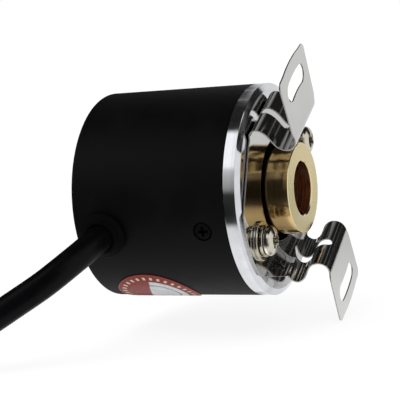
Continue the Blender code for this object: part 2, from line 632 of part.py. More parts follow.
def sticker():
    bm = bmesh.new()
    r0, r1 = BODY_R + 0.12, BODY_R + 0.24
    n = 24
    a0 = math.radians(STICKER_DEG)
    loops = []
    levels = [0.0, 0.36, 0.7, 1.0]
    for r in (r1, r0):
        rows = []
        for lv in levels:
            row = []
            for i in range(n if lv else 1):
                g = 2 * math.pi * i / n
                x = STICKER_X + STICKER_R * lv * math.cos(g)
                a = a0 + STICKER_R * lv * math.sin(g) / BODY_R
                row.append(bm.verts.new((x * MM, r * math.cos(a) * MM, r * math.sin(a) * MM)))
            rows.append(row)
        loops.append(rows)
    for rows in loops:
        for i in range(n):
            j = (i + 1) % n
            bm.faces.new((rows[0][0], rows[1][i], rows[1][j]))
            for k in (1, 2):
                bm.faces.new((rows[k][i], rows[k + 1][i], rows[k + 1][j], rows[k][j]))
    for i in range(n):
        j = (i + 1) % n
        bm.faces.new((loops[0][3][i], loops[1][3][i], loops[1][3][j], loops[0][3][j]))
    return finish_mesh("round_sticker", bm, PAPER, 60)


sticker()
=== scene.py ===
import math

import bmesh
import bpy
import numpy as np
from mathutils import Matrix, Vector


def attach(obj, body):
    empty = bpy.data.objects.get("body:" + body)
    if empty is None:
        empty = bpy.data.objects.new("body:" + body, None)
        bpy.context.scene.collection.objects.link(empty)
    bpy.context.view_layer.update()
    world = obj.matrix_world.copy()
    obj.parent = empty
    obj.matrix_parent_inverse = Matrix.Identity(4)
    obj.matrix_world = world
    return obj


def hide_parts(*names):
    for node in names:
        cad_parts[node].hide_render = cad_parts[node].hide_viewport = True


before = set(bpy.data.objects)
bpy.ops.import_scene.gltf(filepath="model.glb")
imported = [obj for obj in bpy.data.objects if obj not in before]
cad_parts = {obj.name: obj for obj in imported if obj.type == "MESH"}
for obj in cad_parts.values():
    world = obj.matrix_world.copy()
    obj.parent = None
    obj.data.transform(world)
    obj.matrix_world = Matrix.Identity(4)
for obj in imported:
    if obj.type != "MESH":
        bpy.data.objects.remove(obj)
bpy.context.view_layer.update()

MM = 0.001
scene = bpy.context.scene

# ---------------------------------------------------------------- camera
cam_data = bpy.data.cameras.new("camera")
cam_data.lens = 110.15
cam_data.sensor_width = 36.0
cam_data.clip_start = 0.005
cam_data.clip_end = 50.0
cam = bpy.data.objects.new("camera", cam_data)
scene.collection.objects.link(cam)
right = Vector((0.91300, 0.39936, -0.08328))
up = Vector((0.02683, 0.14492, 0.98908))
back = Vector((0.40707, -0.90527, 0.12160))
turn = Matrix((right, up, back)).transposed().to_4x4()
cam.matrix_world = Matrix.Translation((0.07684, -0.20449, 0.02585)) @ turn
scene.camera = cam
scene.view_settings.view_transform = "Standard"
scene.view_settings.look = "None"

# ---------------------------------------------------------------- sizes, as in the design (mm)
BODY_R, RIM_T = 19.0, 2.4
CAN_X0, CAN_X1, CAN_WALL = -2.45, -31.5, 1.0
SPIGOT_R = 17.65
HUB_R, HUB_X = 8.1, 5.15
BORE_R, BORE_END = 4.75, -15.0
JOURNAL_R, TAIL_R, SHAFT_END = 7.35, 5.9, -21.6
STRIP_DEG, SHEET_T, PLATE_X, TAB_X = 117.7, 0.25, 0.56, 8.60
ARM_HALF, SLIT_HALF, BASE_R = 6.35, 0.80, 18.4
SLOT_R, SLOT_W, SLOT_HALF_DEG = 21.7, 3.3, 8.2
TAB_END = 25.8
PLATE_SCREW_R, PLATE_SCREW_DEG = 13.5, (33.7, 213.7)
COVER_SCREW_X, COVER_SCREW_DEG = -6.9, (194.0, 314.0, 74.0)
SET_SCREW_X, SET_SCREW_DEG = 2.95, (272.0, 75.0)
CABLE_D, CABLE_X, CABLE_DEG, CAN_HOLE_R = 4.8, -25.6, 194.0, 3.75
REST_Z = -25.5
COIL_C, COIL_R_IN, COIL_R_OUT, COIL_H, TIE_T = (-95.8, -16.7), 16.0, 34.0, 10.2, 0.9
STICKER_X, STICKER_DEG, STICKER_R = -21.0, 245.0, 7.6


# ---------------------------------------------------------------- materials
class Shade:
    """One node material; numbers and points are in metres of the object's own frame."""

    def __init__(self, name, color, rough, metal=0.0, spec=None):
        self.m = bpy.data.materials.new(name)
        self.m.use_nodes = True
        self.nt = self.m.node_tree
        self.b = self.nt.nodes["Principled BSDF"]
        self.b.inputs["Base Color"].default_value = (*color, 1.0)
        self.b.inputs["Roughness"].default_value = rough
        self.b.inputs["Metallic"].default_value = metal
        if spec is not None:
            self.b.inputs["Specular IOR Level"].default_value = spec
        self._obj = None

    def new(self, kind):
        return self.nt.nodes.new(kind)

    def link(self, a, b):
        self.nt.links.new(a, b)

    def obj(self):
        if self._obj is None:
            self._obj = self.new("ShaderNodeTexCoord").outputs["Object"]
        return self._obj

    def put(self, socket, value):
        if hasattr(value, "node"):
            self.link(value, socket)
        else:
            socket.default_value = value

    def math(self, op, a, b=0.0, clamp=False):
        n = self.new("ShaderNodeMath")
        n.operation = op
        n.use_clamp = clamp
        self.put(n.inputs[0], a)
        self.put(n.inputs[1], b)
        return n.outputs[0]

    def split(self, vec):
        n = self.new("ShaderNodeSeparateXYZ")
        self.link(vec, n.inputs[0])
        return n.outputs

    def join(self, x, y, z):
        n = self.new("ShaderNodeCombineXYZ")
        for s, v in zip(n.inputs, (x, y, z)):
            self.put(s, v)
        return n.outputs[0]

    def stretch(self, vec, scale):
        n = self.new("ShaderNodeMapping")
        self.link(vec, n.inputs["Vector"])
        n.inputs["Scale"].default_value = scale
        return n.outputs[0]

    def noise(self, vec, scale, detail=3.0, rough=0.55):
        n = self.new("ShaderNodeTexNoise")
        self.link(vec, n.inputs["Vector"])
        n.inputs["Scale"].default_value = scale
        n.inputs["Detail"].default_value = detail
        n.inputs["Roughness"].default_value = rough
        return n.outputs["Fac"]

    def ramp(self, fac, stops, kind="LINEAR"):
        n = self.new("ShaderNodeValToRGB")
        n.color_ramp.interpolation = kind
        e = n.color_ramp.elements
        while len(e) > 1:
            e.remove(e[0])
        for i, (p, c) in enumerate(stops):
            q = e[0] if i == 0 else e.new(p)
            q.position = p
            q.color = (*c, 1.0) if len(c) == 3 else c
        self.link(fac, n.inputs[0])
        return n.outputs["Color"]

    def span(self, fac, lo, hi, a=0.0, b=1.0):
        n = self.new("ShaderNodeMapRange")
        n.clamp = True
        self.link(fac, n.inputs["Value"])
        for k, v in (("From Min", lo), ("From Max", hi), ("To Min", a), ("To Max", b)):
            n.inputs[k].default_value = v
        return n.outputs["Result"]

    def mix(self, fac, a, b):
        n = self.new("ShaderNodeMix")
        n.data_type = "RGBA"
        self.put(n.inputs[0], fac)
        self.put(n.inputs[6], a if hasattr(a, "node") else (*a, 1.0))
        self.put(n.inputs[7], b if hasattr(b, "node") else (*b, 1.0))
        return n.outputs[2]

    def color(self, value):
        self.link(value, self.b.inputs["Base Color"])

    def rough(self, value):
        self.link(value, self.b.inputs["Roughness"])

    def bump(self, height, strength, distance):
        n = self.new("ShaderNodeBump")
        n.inputs["Strength"].default_value = strength
        n.inputs["Distance"].default_value = distance
        self.link(height, n.inputs["Height"])
        self.link(n.outputs["Normal"], self.b.inputs["Normal"])

    def axial(self):
        """(x, r, 0): the same all round the shaft axis, so noise in it is turned lines."""
        s = self.split(self.obj())
        r = self.math("SQRT", self.math("ADD", self.math("MULTIPLY", s[1], s[1]),
                                        self.math("MULTIPLY", s[2], s[2])))
        return self.join(s[0], r, 0.0)


def turned_metal(name, dark, light, rough, lines, depth, streak=0.35):
    m = Shade(name, light, rough, 1.0)
    ax = m.axial()
    fine = m.noise(ax, lines, 2.0, 0.6)
    broad = m.noise(m.obj(), 260.0, 4.0, 0.6)
    m.color(m.mix(m.span(broad, 0.3, 0.7), dark, light))
    m.rough(m.math("ADD", m.span(fine, 0.3, 0.7, rough * (1 - streak), rough * (1 + streak)),
                   m.span(broad, 0.35, 0.75, -0.02, 0.03)))
    m.bump(fine, 0.25, depth)
    return m


def make_materials():
    out = {}
    m = Shade("can_black_satin", (0.0022, 0.0022, 0.0024), 0.50, 0.0, 0.10)
    grain = m.noise(m.obj(), 5200.0, 3.0, 0.6)
    blotch = m.noise(m.obj(), 180.0, 4.0, 0.6)
    m.color(m.mix(m.span(blotch, 0.3, 0.7), (0.0016, 0.0016, 0.0018), (0.0029, 0.0029, 0.0031)))
    m.rough(m.math("ADD", m.span(grain, 0.3, 0.7, 0.44, 0.58), m.span(blotch, 0.3, 0.7, -0.03, 0.04)))
    m.bump(grain, 0.35, 0.00004)
    out["can_black"] = m

    out["flange_aluminium"] = turned_metal("flange_aluminium_turned", (0.80, 0.81, 0.84),
                                           (0.94, 0.945, 0.955), 0.10, 5200.0, 0.000008)

    # painted highlight: the same turned aluminium as the flange body, painted lighter for the front face so it
    # reads as a brightly lit band
    out["flange_face"] = turned_metal("flange_face_turned", (0.92, 0.925, 0.93),
                                      (0.96, 0.96, 0.965), 0.09, 5200.0, 0.000006)

    m = Shade("spring_stainless_rolled", (0.80, 0.80, 0.79), 0.075, 1.0)
    s = m.split(m.obj())
    a = math.radians(STRIP_DEG)
    w = m.math("SUBTRACT", m.math("MULTIPLY", s[1], math.sin(a)),
               m.math("MULTIPLY", s[2], math.cos(a)))
    along = m.math("ADD", m.math("MULTIPLY", s[1], math.cos(a)),
                   m.math("MULTIPLY", s[2], math.sin(a)))
    lines = m.noise(m.join(m.math("MULTIPLY", along, 0.02), w, 0.0), 7000.0, 2.0, 0.6)
    wide = m.noise(m.obj(), 160.0, 3.0, 0.5)
    m.color(m.mix(m.span(wide, 0.3, 0.7), (0.76, 0.755, 0.73), (0.82, 0.815, 0.79)))
    m.rough(m.math("ADD", m.span(lines, 0.3, 0.7, 0.035, 0.10), m.span(wide, 0.4, 0.8, 0.0, 0.02)))
    m.bump(m.math("ADD", m.math("MULTIPLY", lines, 0.15), m.math("MULTIPLY", wide, 1.4)), 0.3, 0.00002)
    out["spring_stainless"] = m

    # rougher sheared finish on the sheet's cut edges; its darker colour is painted shade that dims the edge
    # highlight
    m = Shade("sheared_edge_steel", (0.42, 0.40, 0.37), 0.34, 1.0)
    n = m.noise(m.obj(), 6000.0, 3.0, 0.6)
    m.color(m.mix(m.span(n, 0.3, 0.7), (0.30, 0.285, 0.26), (0.50, 0.475, 0.44)))
    m.rough(m.span(n, 0.3, 0.7, 0.26, 0.42))
    out["sheared_edge"] = m

    m = Shade("screw_nickel_plate", (0.80, 0.75, 0.62), 0.10, 1.0)
    wide = m.noise(m.obj(), 900.0, 4.0, 0.6)
    fine = m.noise(m.obj(), 9000.0, 2.0, 0.5)
    m.color(m.mix(m.span(wide, 0.3, 0.7), (0.72, 0.66, 0.52), (0.86, 0.82, 0.71)))
    m.rough(m.span(fine, 0.3, 0.7, 0.07, 0.17))
    m.bump(m.math("ADD", wide, m.math("MULTIPLY", fine, 0.2)), 0.25, 0.00002)
    out["screw_nickel"] = m

    # painted shade: a darker, more saturated copy of the hub's brass for its side, though face and side are one
    # alloy
    out["brass"] = turned_metal("brass_shaded_turned", (0.60, 0.40, 0.17), (0.70, 0.49, 0.23),
                                0.145, 6200.0, 0.000008)
    # painted highlight: the hub's face is the same brass as its side, painted paler and lighter as if lit
    out["brass_face"] = turned_metal("brass_face_turned", (0.95, 0.79, 0.41), (1.0, 0.86, 0.47),
                                     0.13, 5200.0, 0.000010)
    # rougher reamed finish inside the bore; its darker, redder colour is painted shade in the hollow
    out["brass_bore"] = turned_metal("brass_bore_reamed", (0.66, 0.38, 0.24), (0.78, 0.48, 0.32),
                                     0.30, 5200.0, 0.000010)
    out["bearing_steel"] = turned_metal("bearing_steel_ground", (0.52, 0.53, 0.54),
                                        (0.64, 0.65, 0.66), 0.18, 9000.0, 0.000006)
    out["aluminium_plain"] = turned_metal("aluminium_machined", (0.66, 0.67, 0.69),
                                          (0.80, 0.81, 0.83), 0.28, 5000.0, 0.000015)

    m = Shade("black_oxide_steel", (0.022, 0.022, 0.024), 0.42, 0.85)
    n = m.noise(m.obj(), 2500.0, 4.0, 0.6)
    m.color(m.mix(m.span(n, 0.3, 0.7), (0.014, 0.014, 0.016), (0.034, 0.033, 0.033)))
    m.rough(m.span(n, 0.3, 0.7, 0.32, 0.52))
    m.bump(n, 0.3, 0.00002)
    out["black_steel"] = m

    m = Shade("screw_black_painted", (0.0016, 0.0016, 0.0018), 0.45, 0.0, 0.07)
    n = m.noise(m.obj(), 2600.0, 4.0, 0.6)
    m.color(m.mix(m.span(n, 0.3, 0.7), (0.0012, 0.0012, 0.0014), (0.0024, 0.0024, 0.0024)))
    m.rough(m.span(n, 0.3, 0.7, 0.38, 0.54))
    m.bump(n, 0.3, 0.00002)
    out["screw_black"] = m

    m = Shade("rubber_black_moulded", (0.0016, 0.0016, 0.0016), 0.62, 0.0, 0.05)
    n = m.noise(m.obj(), 3800.0, 4.0, 0.65)
    m.color(m.mix(m.span(n, 0.3, 0.7), (0.0011, 0.0011, 0.0011), (0.0024, 0.0024, 0.0024)))
    m.rough(m.span(n, 0.3, 0.7, 0.52, 0.72))
    m.bump(n, 0.4, 0.00004)
    out["rubber_black"] = m

    m = Shade("cable_sheath_pvc", (0.0013, 0.0013, 0.0018), 0.36, 0.0, 0.12)
    n = m.noise(m.obj(), 3000.0, 4.0, 0.65)
    b = m.noise(m.obj(), 240.0, 3.0, 0.5)
    m.color(m.mix(m.span(b, 0.3, 0.7), (0.0009, 0.0009, 0.0013), (0.0019, 0.0019, 0.0025)))
    m.rough(m.math("ADD", m.span(n, 0.3, 0.7, 0.30, 0.41), m.span(b, 0.3, 0.7, -0.02, 0.03)))
    m.bump(m.math("ADD", n, m.math("MULTIPLY", b, 3.0)), 0.3, 0.00003)
    out["cable_sheath"] = m

    m = Shade("board_green_mask", (0.02, 0.13, 0.06), 0.38, 0.0)
    s = m.split(m.obj())
    v = m.new("ShaderNodeTexVoronoi")
    v.feature = "DISTANCE_TO_EDGE"
    v.inputs["Scale"].default_value = 420.0
    m.link(m.join(0.0, s[1], s[2]), v.inputs["Vector"])
    trace = m.span(v.outputs["Distance"], 0.04, 0.07, 1.0, 0.0)
    m.color(m.mix(trace, (0.012, 0.105, 0.045), (0.03, 0.20, 0.09)))
    m.rough(m.span(m.noise(m.obj(), 3000.0), 0.3, 0.7, 0.32, 0.46))
    m.bump(trace, 0.4, 0.00003)
    out["board_green"] = m

    m = Shade("chip_epoxy", (0.018, 0.018, 0.019), 0.55, 0.0)
    n = m.noise(m.obj(), 6000.0, 3.0, 0.6)
    m.color(m.mix(n, (0.012, 0.012, 0.013), (0.03, 0.03, 0.03)))
    m.rough(m.span(n, 0.3, 0.7, 0.46, 0.64))
    m.bump(n, 0.5, 0.00003)
    out["chip_black"] = m

    m = Shade("disc_glass_coded", (0.80, 0.85, 0.88), 0.05, 0.0)
    s = m.split(m.obj())
    ang = m.math("ARCTAN2", s[2], s[1])
    r = m.math("SQRT", m.math("ADD", m.math("MULTIPLY", s[1], s[1]), m.math("MULTIPLY", s[2], s[2])))
    lines = m.math("GREATER_THAN", m.math("SINE", m.math("MULTIPLY", ang, 360.0)), 0.0)
    band = m.math("MULTIPLY", m.math("GREATER_THAN", r, 0.0122), m.math("LESS_THAN", r, 0.0138))
    m.color(m.mix(m.math("MULTIPLY", lines, band), (0.80, 0.85, 0.88), (0.05, 0.05, 0.06)))
    m.rough(m.span(m.noise(m.obj(), 1500.0), 0.3, 0.7, 0.03, 0.08))
    out["clear_glass"] = m

    m = Shade("plastic_natural_moulded", (0.72, 0.69, 0.60), 0.45, 0.0)
    n = m.noise(m.obj(), 1800.0, 3.0, 0.6)
    m.color(m.mix(n, (0.66, 0.63, 0.54), (0.78, 0.75, 0.67)))
    m.rough(m.span(n, 0.3, 0.7, 0.38, 0.54))
    m.bump(n, 0.3, 0.00003)
    out["plastic_natural"] = m

    for tag, lo, hi in (("red", (0.42, 0.012, 0.012), (0.58, 0.03, 0.025)),
                        ("black", (0.008, 0.008, 0.009), (0.018, 0.018, 0.02)),
                        ("green", (0.01, 0.20, 0.045), (0.02, 0.30, 0.08)),
                        ("white", (0.70, 0.70, 0.67), (0.84, 0.84, 0.82))):
        m = Shade(f"lead_{tag}_pvc", hi, 0.36, 0.0)
        n = m.noise(m.obj(), 1500.0, 3.0, 0.6)
        m.color(m.mix(m.span(n, 0.3, 0.7), lo, hi))
        m.rough(m.span(n, 0.3, 0.7, 0.30, 0.44))
        m.bump(n, 0.2, 0.00002)
        out[f"lead_{tag}"] = m

    m = Shade("tinned_strands", (0.72, 0.72, 0.71), 0.24, 1.0)
    n = m.noise(m.obj(), 5000.0, 3.0, 0.6)
    m.color(m.mix(n, (0.60, 0.60, 0.59), (0.82, 0.82, 0.81)))
    m.rough(m.span(n, 0.3, 0.7, 0.16, 0.34))
    out["tinned"] = m

    # round sticker: red ring with plain pale dashes round a pale centre
    m = Shade("sticker_face_printed", (0.8, 0.2, 0.15), 0.40, 0.0, 0.2)
    uv = m.new("ShaderNodeUVMap")
    uv.uv_map = "UVMap"
    s = m.split(uv.outputs[0])
    u = m.math("SUBTRACT", s[0], 0.5)
    v = m.math("SUBTRACT", s[1], 0.5)
    r = m.math("MULTIPLY", m.math("SQRT", m.math("ADD", m.math("MULTIPLY", u, u),
                                                 m.math("MULTIPLY", v, v))), 2.0)
    ang = m.math("ARCTAN2", v, u)
    ring = m.span(r, 0.705, 0.715)
    dash = m.math("MULTIPLY", m.span(m.math("SINE", m.math("MULTIPLY", ang, 30.0)), 0.25, 0.45),
                  m.math("MULTIPLY", m.span(r, 0.79, 0.80), m.span(r, 0.895, 0.905, 1.0, 0.0)))
    edge = m.span(r, 0.965, 0.975)
    band = m.math("MULTIPLY", m.span(r, 0.50, 0.51), m.span(r, 0.54, 0.55, 1.0, 0.0))
    grey = m.noise(m.obj(), 700.0, 3.0, 0.6)
    centre = m.mix(m.span(grey, 0.35, 0.7), (0.46, 0.48, 0.50), (0.62, 0.63, 0.63))
    centre = m.mix(band, centre, (0.12, 0.13, 0.15))
    plain = m.mix(m.span(grey, 0.3, 0.7), (0.15, 0.010, 0.008), (0.24, 0.022, 0.016))
    centre = m.mix(m.span(m.math("ADD", u, m.math("MULTIPLY", v, 0.35)), -0.115, -0.10, 1.0, 0.0), centre, plain)
    red = m.mix(m.span(m.noise(m.obj(), 1200.0, 2.0), 0.3, 0.7), (0.13, 0.008, 0.007), (0.20, 0.016, 0.012))
    face = m.mix(ring, centre, red)
    face = m.mix(dash, face, (0.62, 0.45, 0.30))
    face = m.mix(edge, face, (0.26, 0.045, 0.035))
    m.color(face)
    m.rough(m.span(m.noise(m.obj(), 2500.0), 0.3, 0.7, 0.28, 0.42))
    out["sticker_face"] = m
    return {k: v.m for k, v in out.items()}


MAT = make_materials()


# ---------------------------------------------------------------- mesh helpers
def to_object(name, bm, mat, sharp=34.0, merge=1e-8):
    if merge:
        bmesh.ops.remove_doubles(bm, verts=bm.verts, dist=merge)
    bmesh.ops.recalc_face_normals(bm, faces=bm.faces)
    me = bpy.data.meshes.new(name)
    bm.to_mesh(me)
    bm.free()
    me.shade_smooth()
    me.set_sharp_from_angle(angle=math.radians(sharp))
    me.materials.append(MAT[mat])
    ob = bpy.data.objects.new(name, me)
    scene.collection.objects.link(ob)
    return ob


def rounded(profile, n=4):
    """Closed section of (x, r) or (x, r, radius): corners with a radius become arcs."""
    out = []
    m = len(profile)
    for i, p in enumerate(profile):
        here = np.array(p[:2], float)
        rad = p[2] if len(p) > 2 else 0.0
        if rad <= 0:
            out.append(tuple(here))
            continue
        a = np.array(profile[i - 1][:2], float) - here
        b = np.array(profile[(i + 1) % m][:2], float) - here
        la, lb = np.linalg.norm(a), np.linalg.norm(b)
        a, b = a / la, b / lb
        ang = math.acos(max(-1, min(1, float(a @ b))))
        t = min(rad / math.tan(ang / 2), 0.48 * la, 0.48 * lb)
        r = t * math.tan(ang / 2)
        mid = (a + b) / np.linalg.norm(a + b)
        c = here + mid * (r / math.sin(ang / 2))
        s, e = here + a * t - c, here + b * t - c
        a0 = math.atan2(s[1], s[0])
        d = (math.atan2(e[1], e[0]) - a0 + math.pi) % (2 * math.pi) - math.pi
        out += [(c[0] + r * math.cos(a0 + d * k / n), c[1] + r * math.sin(a0 + d * k / n))
                for k in range(n + 1)]
    return out


def lathe_bm(profile, steps=192, start=0.0, arc=2 * math.pi):
    bm = bmesh.new()
    rings = []
    for x, r in profile:
        if abs(r) < 1e-9:
            rings.append([bm.verts.new((x * MM, 0, 0))])
        else:
            rings.append([bm.verts.new((x * MM, r * math.cos(start + arc * k / steps) * MM,
                                        r * math.sin(start + arc * k / steps) * MM))
                          for k in range(steps)])
    n = len(rings)
    for i in range(n):
        a, b = rings[i], rings[(i + 1) % n]
        if len(a) == 1 and len(b) == 1:
            continue
        for k in range(steps):
            j = (k + 1) % steps
            if len(a) == 1:
                bm.faces.new((a[0], b[j], b[k]))
            elif len(b) == 1:
                bm.faces.new((a[k], a[j], b[0]))
            else:
                bm.faces.new((a[k], a[j], b[j], b[k]))
    return bm


def lathe(name, profile, mat, steps=192, sharp=34.0):
    return to_object(name, lathe_bm(profile, steps), mat, sharp)


def at_angle(ob, deg, x=0.0, r=0.0, spin=0.0):
    a = math.radians(deg)
    m = Matrix.Translation((x * MM, r * math.cos(a) * MM, r * math.sin(a) * MM)) \
        @ Matrix.Rotation(a + math.radians(spin), 4, "X")
    ob.data.transform(m)
    return ob


def radial(ob, deg, x):
    """Local X becomes the outward direction at deg, starting on the shaft axis."""
    a = math.radians(deg)
    out = Vector((0, math.cos(a), math.sin(a)))
    side = Vector((1, 0, 0))
    m = Matrix((out, side, out.cross(side))).transposed().to_4x4()
    ob.data.transform(Matrix.Translation((x * MM, 0, 0)) @ m)
    return ob


def bake(ob, sharp=34.0):
    """Applies the modifiers and shades the result again."""
    dg = bpy.context.evaluated_depsgraph_get()
    me = bpy.data.meshes.new_from_object(ob.evaluated_get(dg))
    ob.modifiers.clear()
    old, ob.data = ob.data, me
    me.name = ob.name
    me.shade_smooth()
    me.set_sharp_from_angle(angle=math.radians(sharp))
    bpy.data.meshes.remove(old)
    return ob


def carve(ob, cutters, sharp=34.0):
    for c in cutters:
        mod = ob.modifiers.new("cut", "BOOLEAN")
        mod.operation = "DIFFERENCE"
        mod.solver = "EXACT"
        mod.object = c
    bpy.context.view_layer.update()
    bake(ob, sharp)
    for c in cutters:
        bpy.data.objects.remove(c, do_unlink=True)
    return ob


def round_normals(ob, radius, tol=0.06):
    """Exact cylinder normals for the faces that lie on the given radius about the X axis."""
    me = ob.data
    normals = [Vector(c.vector) for c in me.corner_normals]
    for p in me.polygons:
        c = p.center
        rc = math.hypot(c.y, c.z) / MM
        if abs(rc - radius) > tol or abs(p.normal.x) > 0.05:
            continue
        if abs(p.normal.y * c.y + p.normal.z * c.z) / (rc * MM) < 0.97:
            continue
        sign = 1.0 if p.normal.y * c.y + p.normal.z * c.z > 0 else -1.0
        for li in p.loop_indices:
            v = me.vertices[me.loops[li].vertex_index].co
            normals[li] = Vector((0, v.y, v.z)).normalized() * sign
    flat = [p for p in me.polygons if abs(p.normal.x) > 0.9999]
    for p in flat:
        for li in p.loop_indices:
            normals[li] = Vector((math.copysign(1.0, p.normal.x), 0, 0))
    me.normals_split_custom_set([tuple(n) for n in normals])
    return ob


def spline(points, step):
    p = np.array(points, float)
    t = np.concatenate([[0], np.cumsum(np.linalg.norm(np.diff(p, axis=0), axis=1))])
    n = len(p)
    h = np.diff(t)
    a = np.zeros((n, n))
    b = np.zeros((n, p.shape[1]))
    a[0, 0] = a[-1, -1] = 1
    for i in range(1, n - 1):
        a[i, i - 1], a[i, i], a[i, i + 1] = h[i - 1], 2 * (h[i - 1] + h[i]), h[i]
        b[i] = 6 * ((p[i + 1] - p[i]) / h[i] - (p[i] - p[i - 1]) / h[i - 1])
    m = np.linalg.solve(a, b)
    u = np.linspace(0, t[-1], max(4000, 20 * n))
    k = np.clip(np.searchsorted(t, u, side="right") - 1, 0, n - 2)
    d0, d1, hk = (u - t[k])[:, None], (t[k + 1] - u)[:, None], h[k][:, None]
    q = (m[k] * d1 ** 3 + m[k + 1] * d0 ** 3) / (6 * hk) \
        + (p[k] / hk - m[k] * hk / 6) * d1 + (p[k + 1] / hk - m[k + 1] * hk / 6) * d0
    s = np.concatenate([[0], np.cumsum(np.linalg.norm(np.diff(q, axis=0), axis=1))])
    count = max(2, int(round(s[-1] / step)) + 1)
    return np.array([[np.interp(v, s, q[:, j]) for j in range(q.shape[1])]
                     for v in np.linspace(0, s[-1], count)])


def sweep(name, path, radius, mat, sides=24, shape=None, cap=0.25, sharp=40.0):
    """Tube along path (mm). radius is a number or fn(i, length, angle); ends get small rims."""
    path = np.array(path, float)
    seg = np.concatenate([[0], np.cumsum(np.linalg.norm(np.diff(path, axis=0), axis=1))])
    tang = np.gradient(path, seg, axis=0)
    tang /= np.linalg.norm(tang, axis=1)[:, None]
    ref = np.array([0.0, 0.0, 1.0])
    if abs(tang[0] @ ref) > 0.9:
        ref = np.array([1.0, 0.0, 0.0])
    u = ref - tang[0] * (ref @ tang[0])
    u /= np.linalg.norm(u)
    bm = bmesh.new()
    rings = []

    def add(centre, u, v, scale, i):
        row = []
        for k in range(sides):
            g = 2 * math.pi * k / sides
            r = (radius(i, seg[i], g) if callable(radius) else radius) * scale
            p = centre + (u * math.cos(g) + v * math.sin(g)) * r
            row.append(bm.verts.new(tuple(p * MM)))
        rings.append(row)

    base = radius if not callable(radius) else radius(0, 0.0, 0.0)
    for i in range(len(path)):
        u = u - tang[i] * (u @ tang[i])
        u /= np.linalg.norm(u)
        v = np.cross(tang[i], u)
        if i == 0:
            add(path[0], u, v, 1 - cap, 0)
            add(path[0] + tang[0] * base * cap * 0.5, u, v, 1.0, 0)
        elif i == len(path) - 1:
            add(path[i] - tang[i] * base * cap * 0.5, u, v, 1.0, i)
            add(path[i], u, v, 1 - cap, i)
        else:
            add(path[i], u, v, 1.0, i)
    for a, b in zip(rings[:-1], rings[1:]):
        for k in range(sides):
            j = (k + 1) % sides
            bm.faces.new((a[k], a[j], b[j], b[k]))
    bm.faces.new(rings[0])
    bm.faces.new(list(reversed(rings[-1])))
    return to_object(name, bm, mat, sharp)


def hexagon_prism(name, half, x0, x1, mat):
    bm = bmesh.new()
    rows = []
    for x in (x0, x1):
        rows.append([bm.verts.new((x * MM, half / math.cos(math.pi / 6) * math.cos(math.pi * k / 3) * MM,
                                   half / math.cos(math.pi / 6) * math.sin(math.pi * k / 3) * MM))
                     for k in range(6)])
    for k in range(6):
        j = (k + 1) % 6
        bm.faces.new((rows[0][k], rows[0][j], rows[1][j], rows[1][k]))
    bm.faces.new(rows[0])
    bm.faces.new(rows[1])
    return to_object(name, bm, mat)


def cross_plug(name, top, depth, span, width, foot=0.45):
    """Tapered four-winged plug for a cross recess, standing along local X below top."""
    def outline(s, w, c):
        pts = []
        for q in range(4):
            g = math.pi / 2 * q
            for y, z in ((s, -w), (s, w), (c, c)):
                pts.append((y * math.cos(g) - z * math.sin(g), y * math.sin(g) + z * math.cos(g)))
        return pts
    bm = bmesh.new()
    rows = []
    for x, k in ((top + 0.6, 1.12), (top, 1.0), (top - depth * 0.62, 0.66), (top - depth, foot)):
        s, w = span / 2 * k, width / 2 * (0.6 + 0.4 * k)
        rows.append([bm.verts.new((x * MM, y * MM, z * MM)) for y, z in outline(s, w, w * 1.25)])
    for a, b in zip(rows[:-1], rows[1:]):
        for i in range(12):
            j = (i + 1) % 12
            bm.faces.new((a[i], a[j], b[j], b[i]))
    bm.faces.new(rows[0])
    bm.faces.new(rows[-1])
    bmesh.ops.triangulate(bm, faces=[f for f in bm.faces if len(f.verts) > 4])
    return to_object(name, bm, "screw_nickel")


def housing(ob, *nodes, slot=None, body="housing"):
    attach(ob, body)
    if nodes:
        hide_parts(*nodes)
    return ob


# ---------------------------------------------------------------- cable
OUT_DIR = np.array((0, math.cos(math.radians(CABLE_DEG)), math.sin(math.radians(CABLE_DEG))))
AWAY_DIR = np.array((-0.726, -0.4015, -0.535))
AWAY_DIR /= np.linalg.norm(AWAY_DIR)
CORNER_R, BEND_R, EXIT_R = 27.6, 14.0, 12.2


def out_at(r):
    return (CABLE_X, r * OUT_DIR[1], r * OUT_DIR[2])


def exit_bend(n):
    corner = np.array(out_at(CORNER_R))
    half = math.acos(float(OUT_DIR @ AWAY_DIR)) / 2
    start = corner - OUT_DIR * BEND_R * math.tan(half)
    inward = AWAY_DIR - OUT_DIR * (OUT_DIR @ AWAY_DIR)
    inward /= np.linalg.norm(inward)
    return [tuple(start + OUT_DIR * BEND_R * math.sin(2 * half * i / n)
                  + inward * BEND_R * (1 - math.cos(2 * half * i / n))) for i in range(n + 1)]


ROUTE = [out_at(EXIT_R), out_at(15.8)] + exit_bend(4) + [
    (-35.6, -32.5, -13.7), (-39.7, -34.8, -16.3), (-43.2, -36.6, -18.4),
    (-47.2, -38.3, -20.5), (-52.0, -40.0, -22.15), (-57.5, -41.6, -22.95),
    (-63.5, -43.2, -23.1), (-69.4, -44.8, -23.1)]
COIL_TURNS, COIL_EXTRA = 2.66, 90.0
COIL_OUTER, COIL_INNER = 31.4, 18.4
LAYER_LOW, LAYER_HIGH, COIL_START = -22.15, -17.15, 262.0


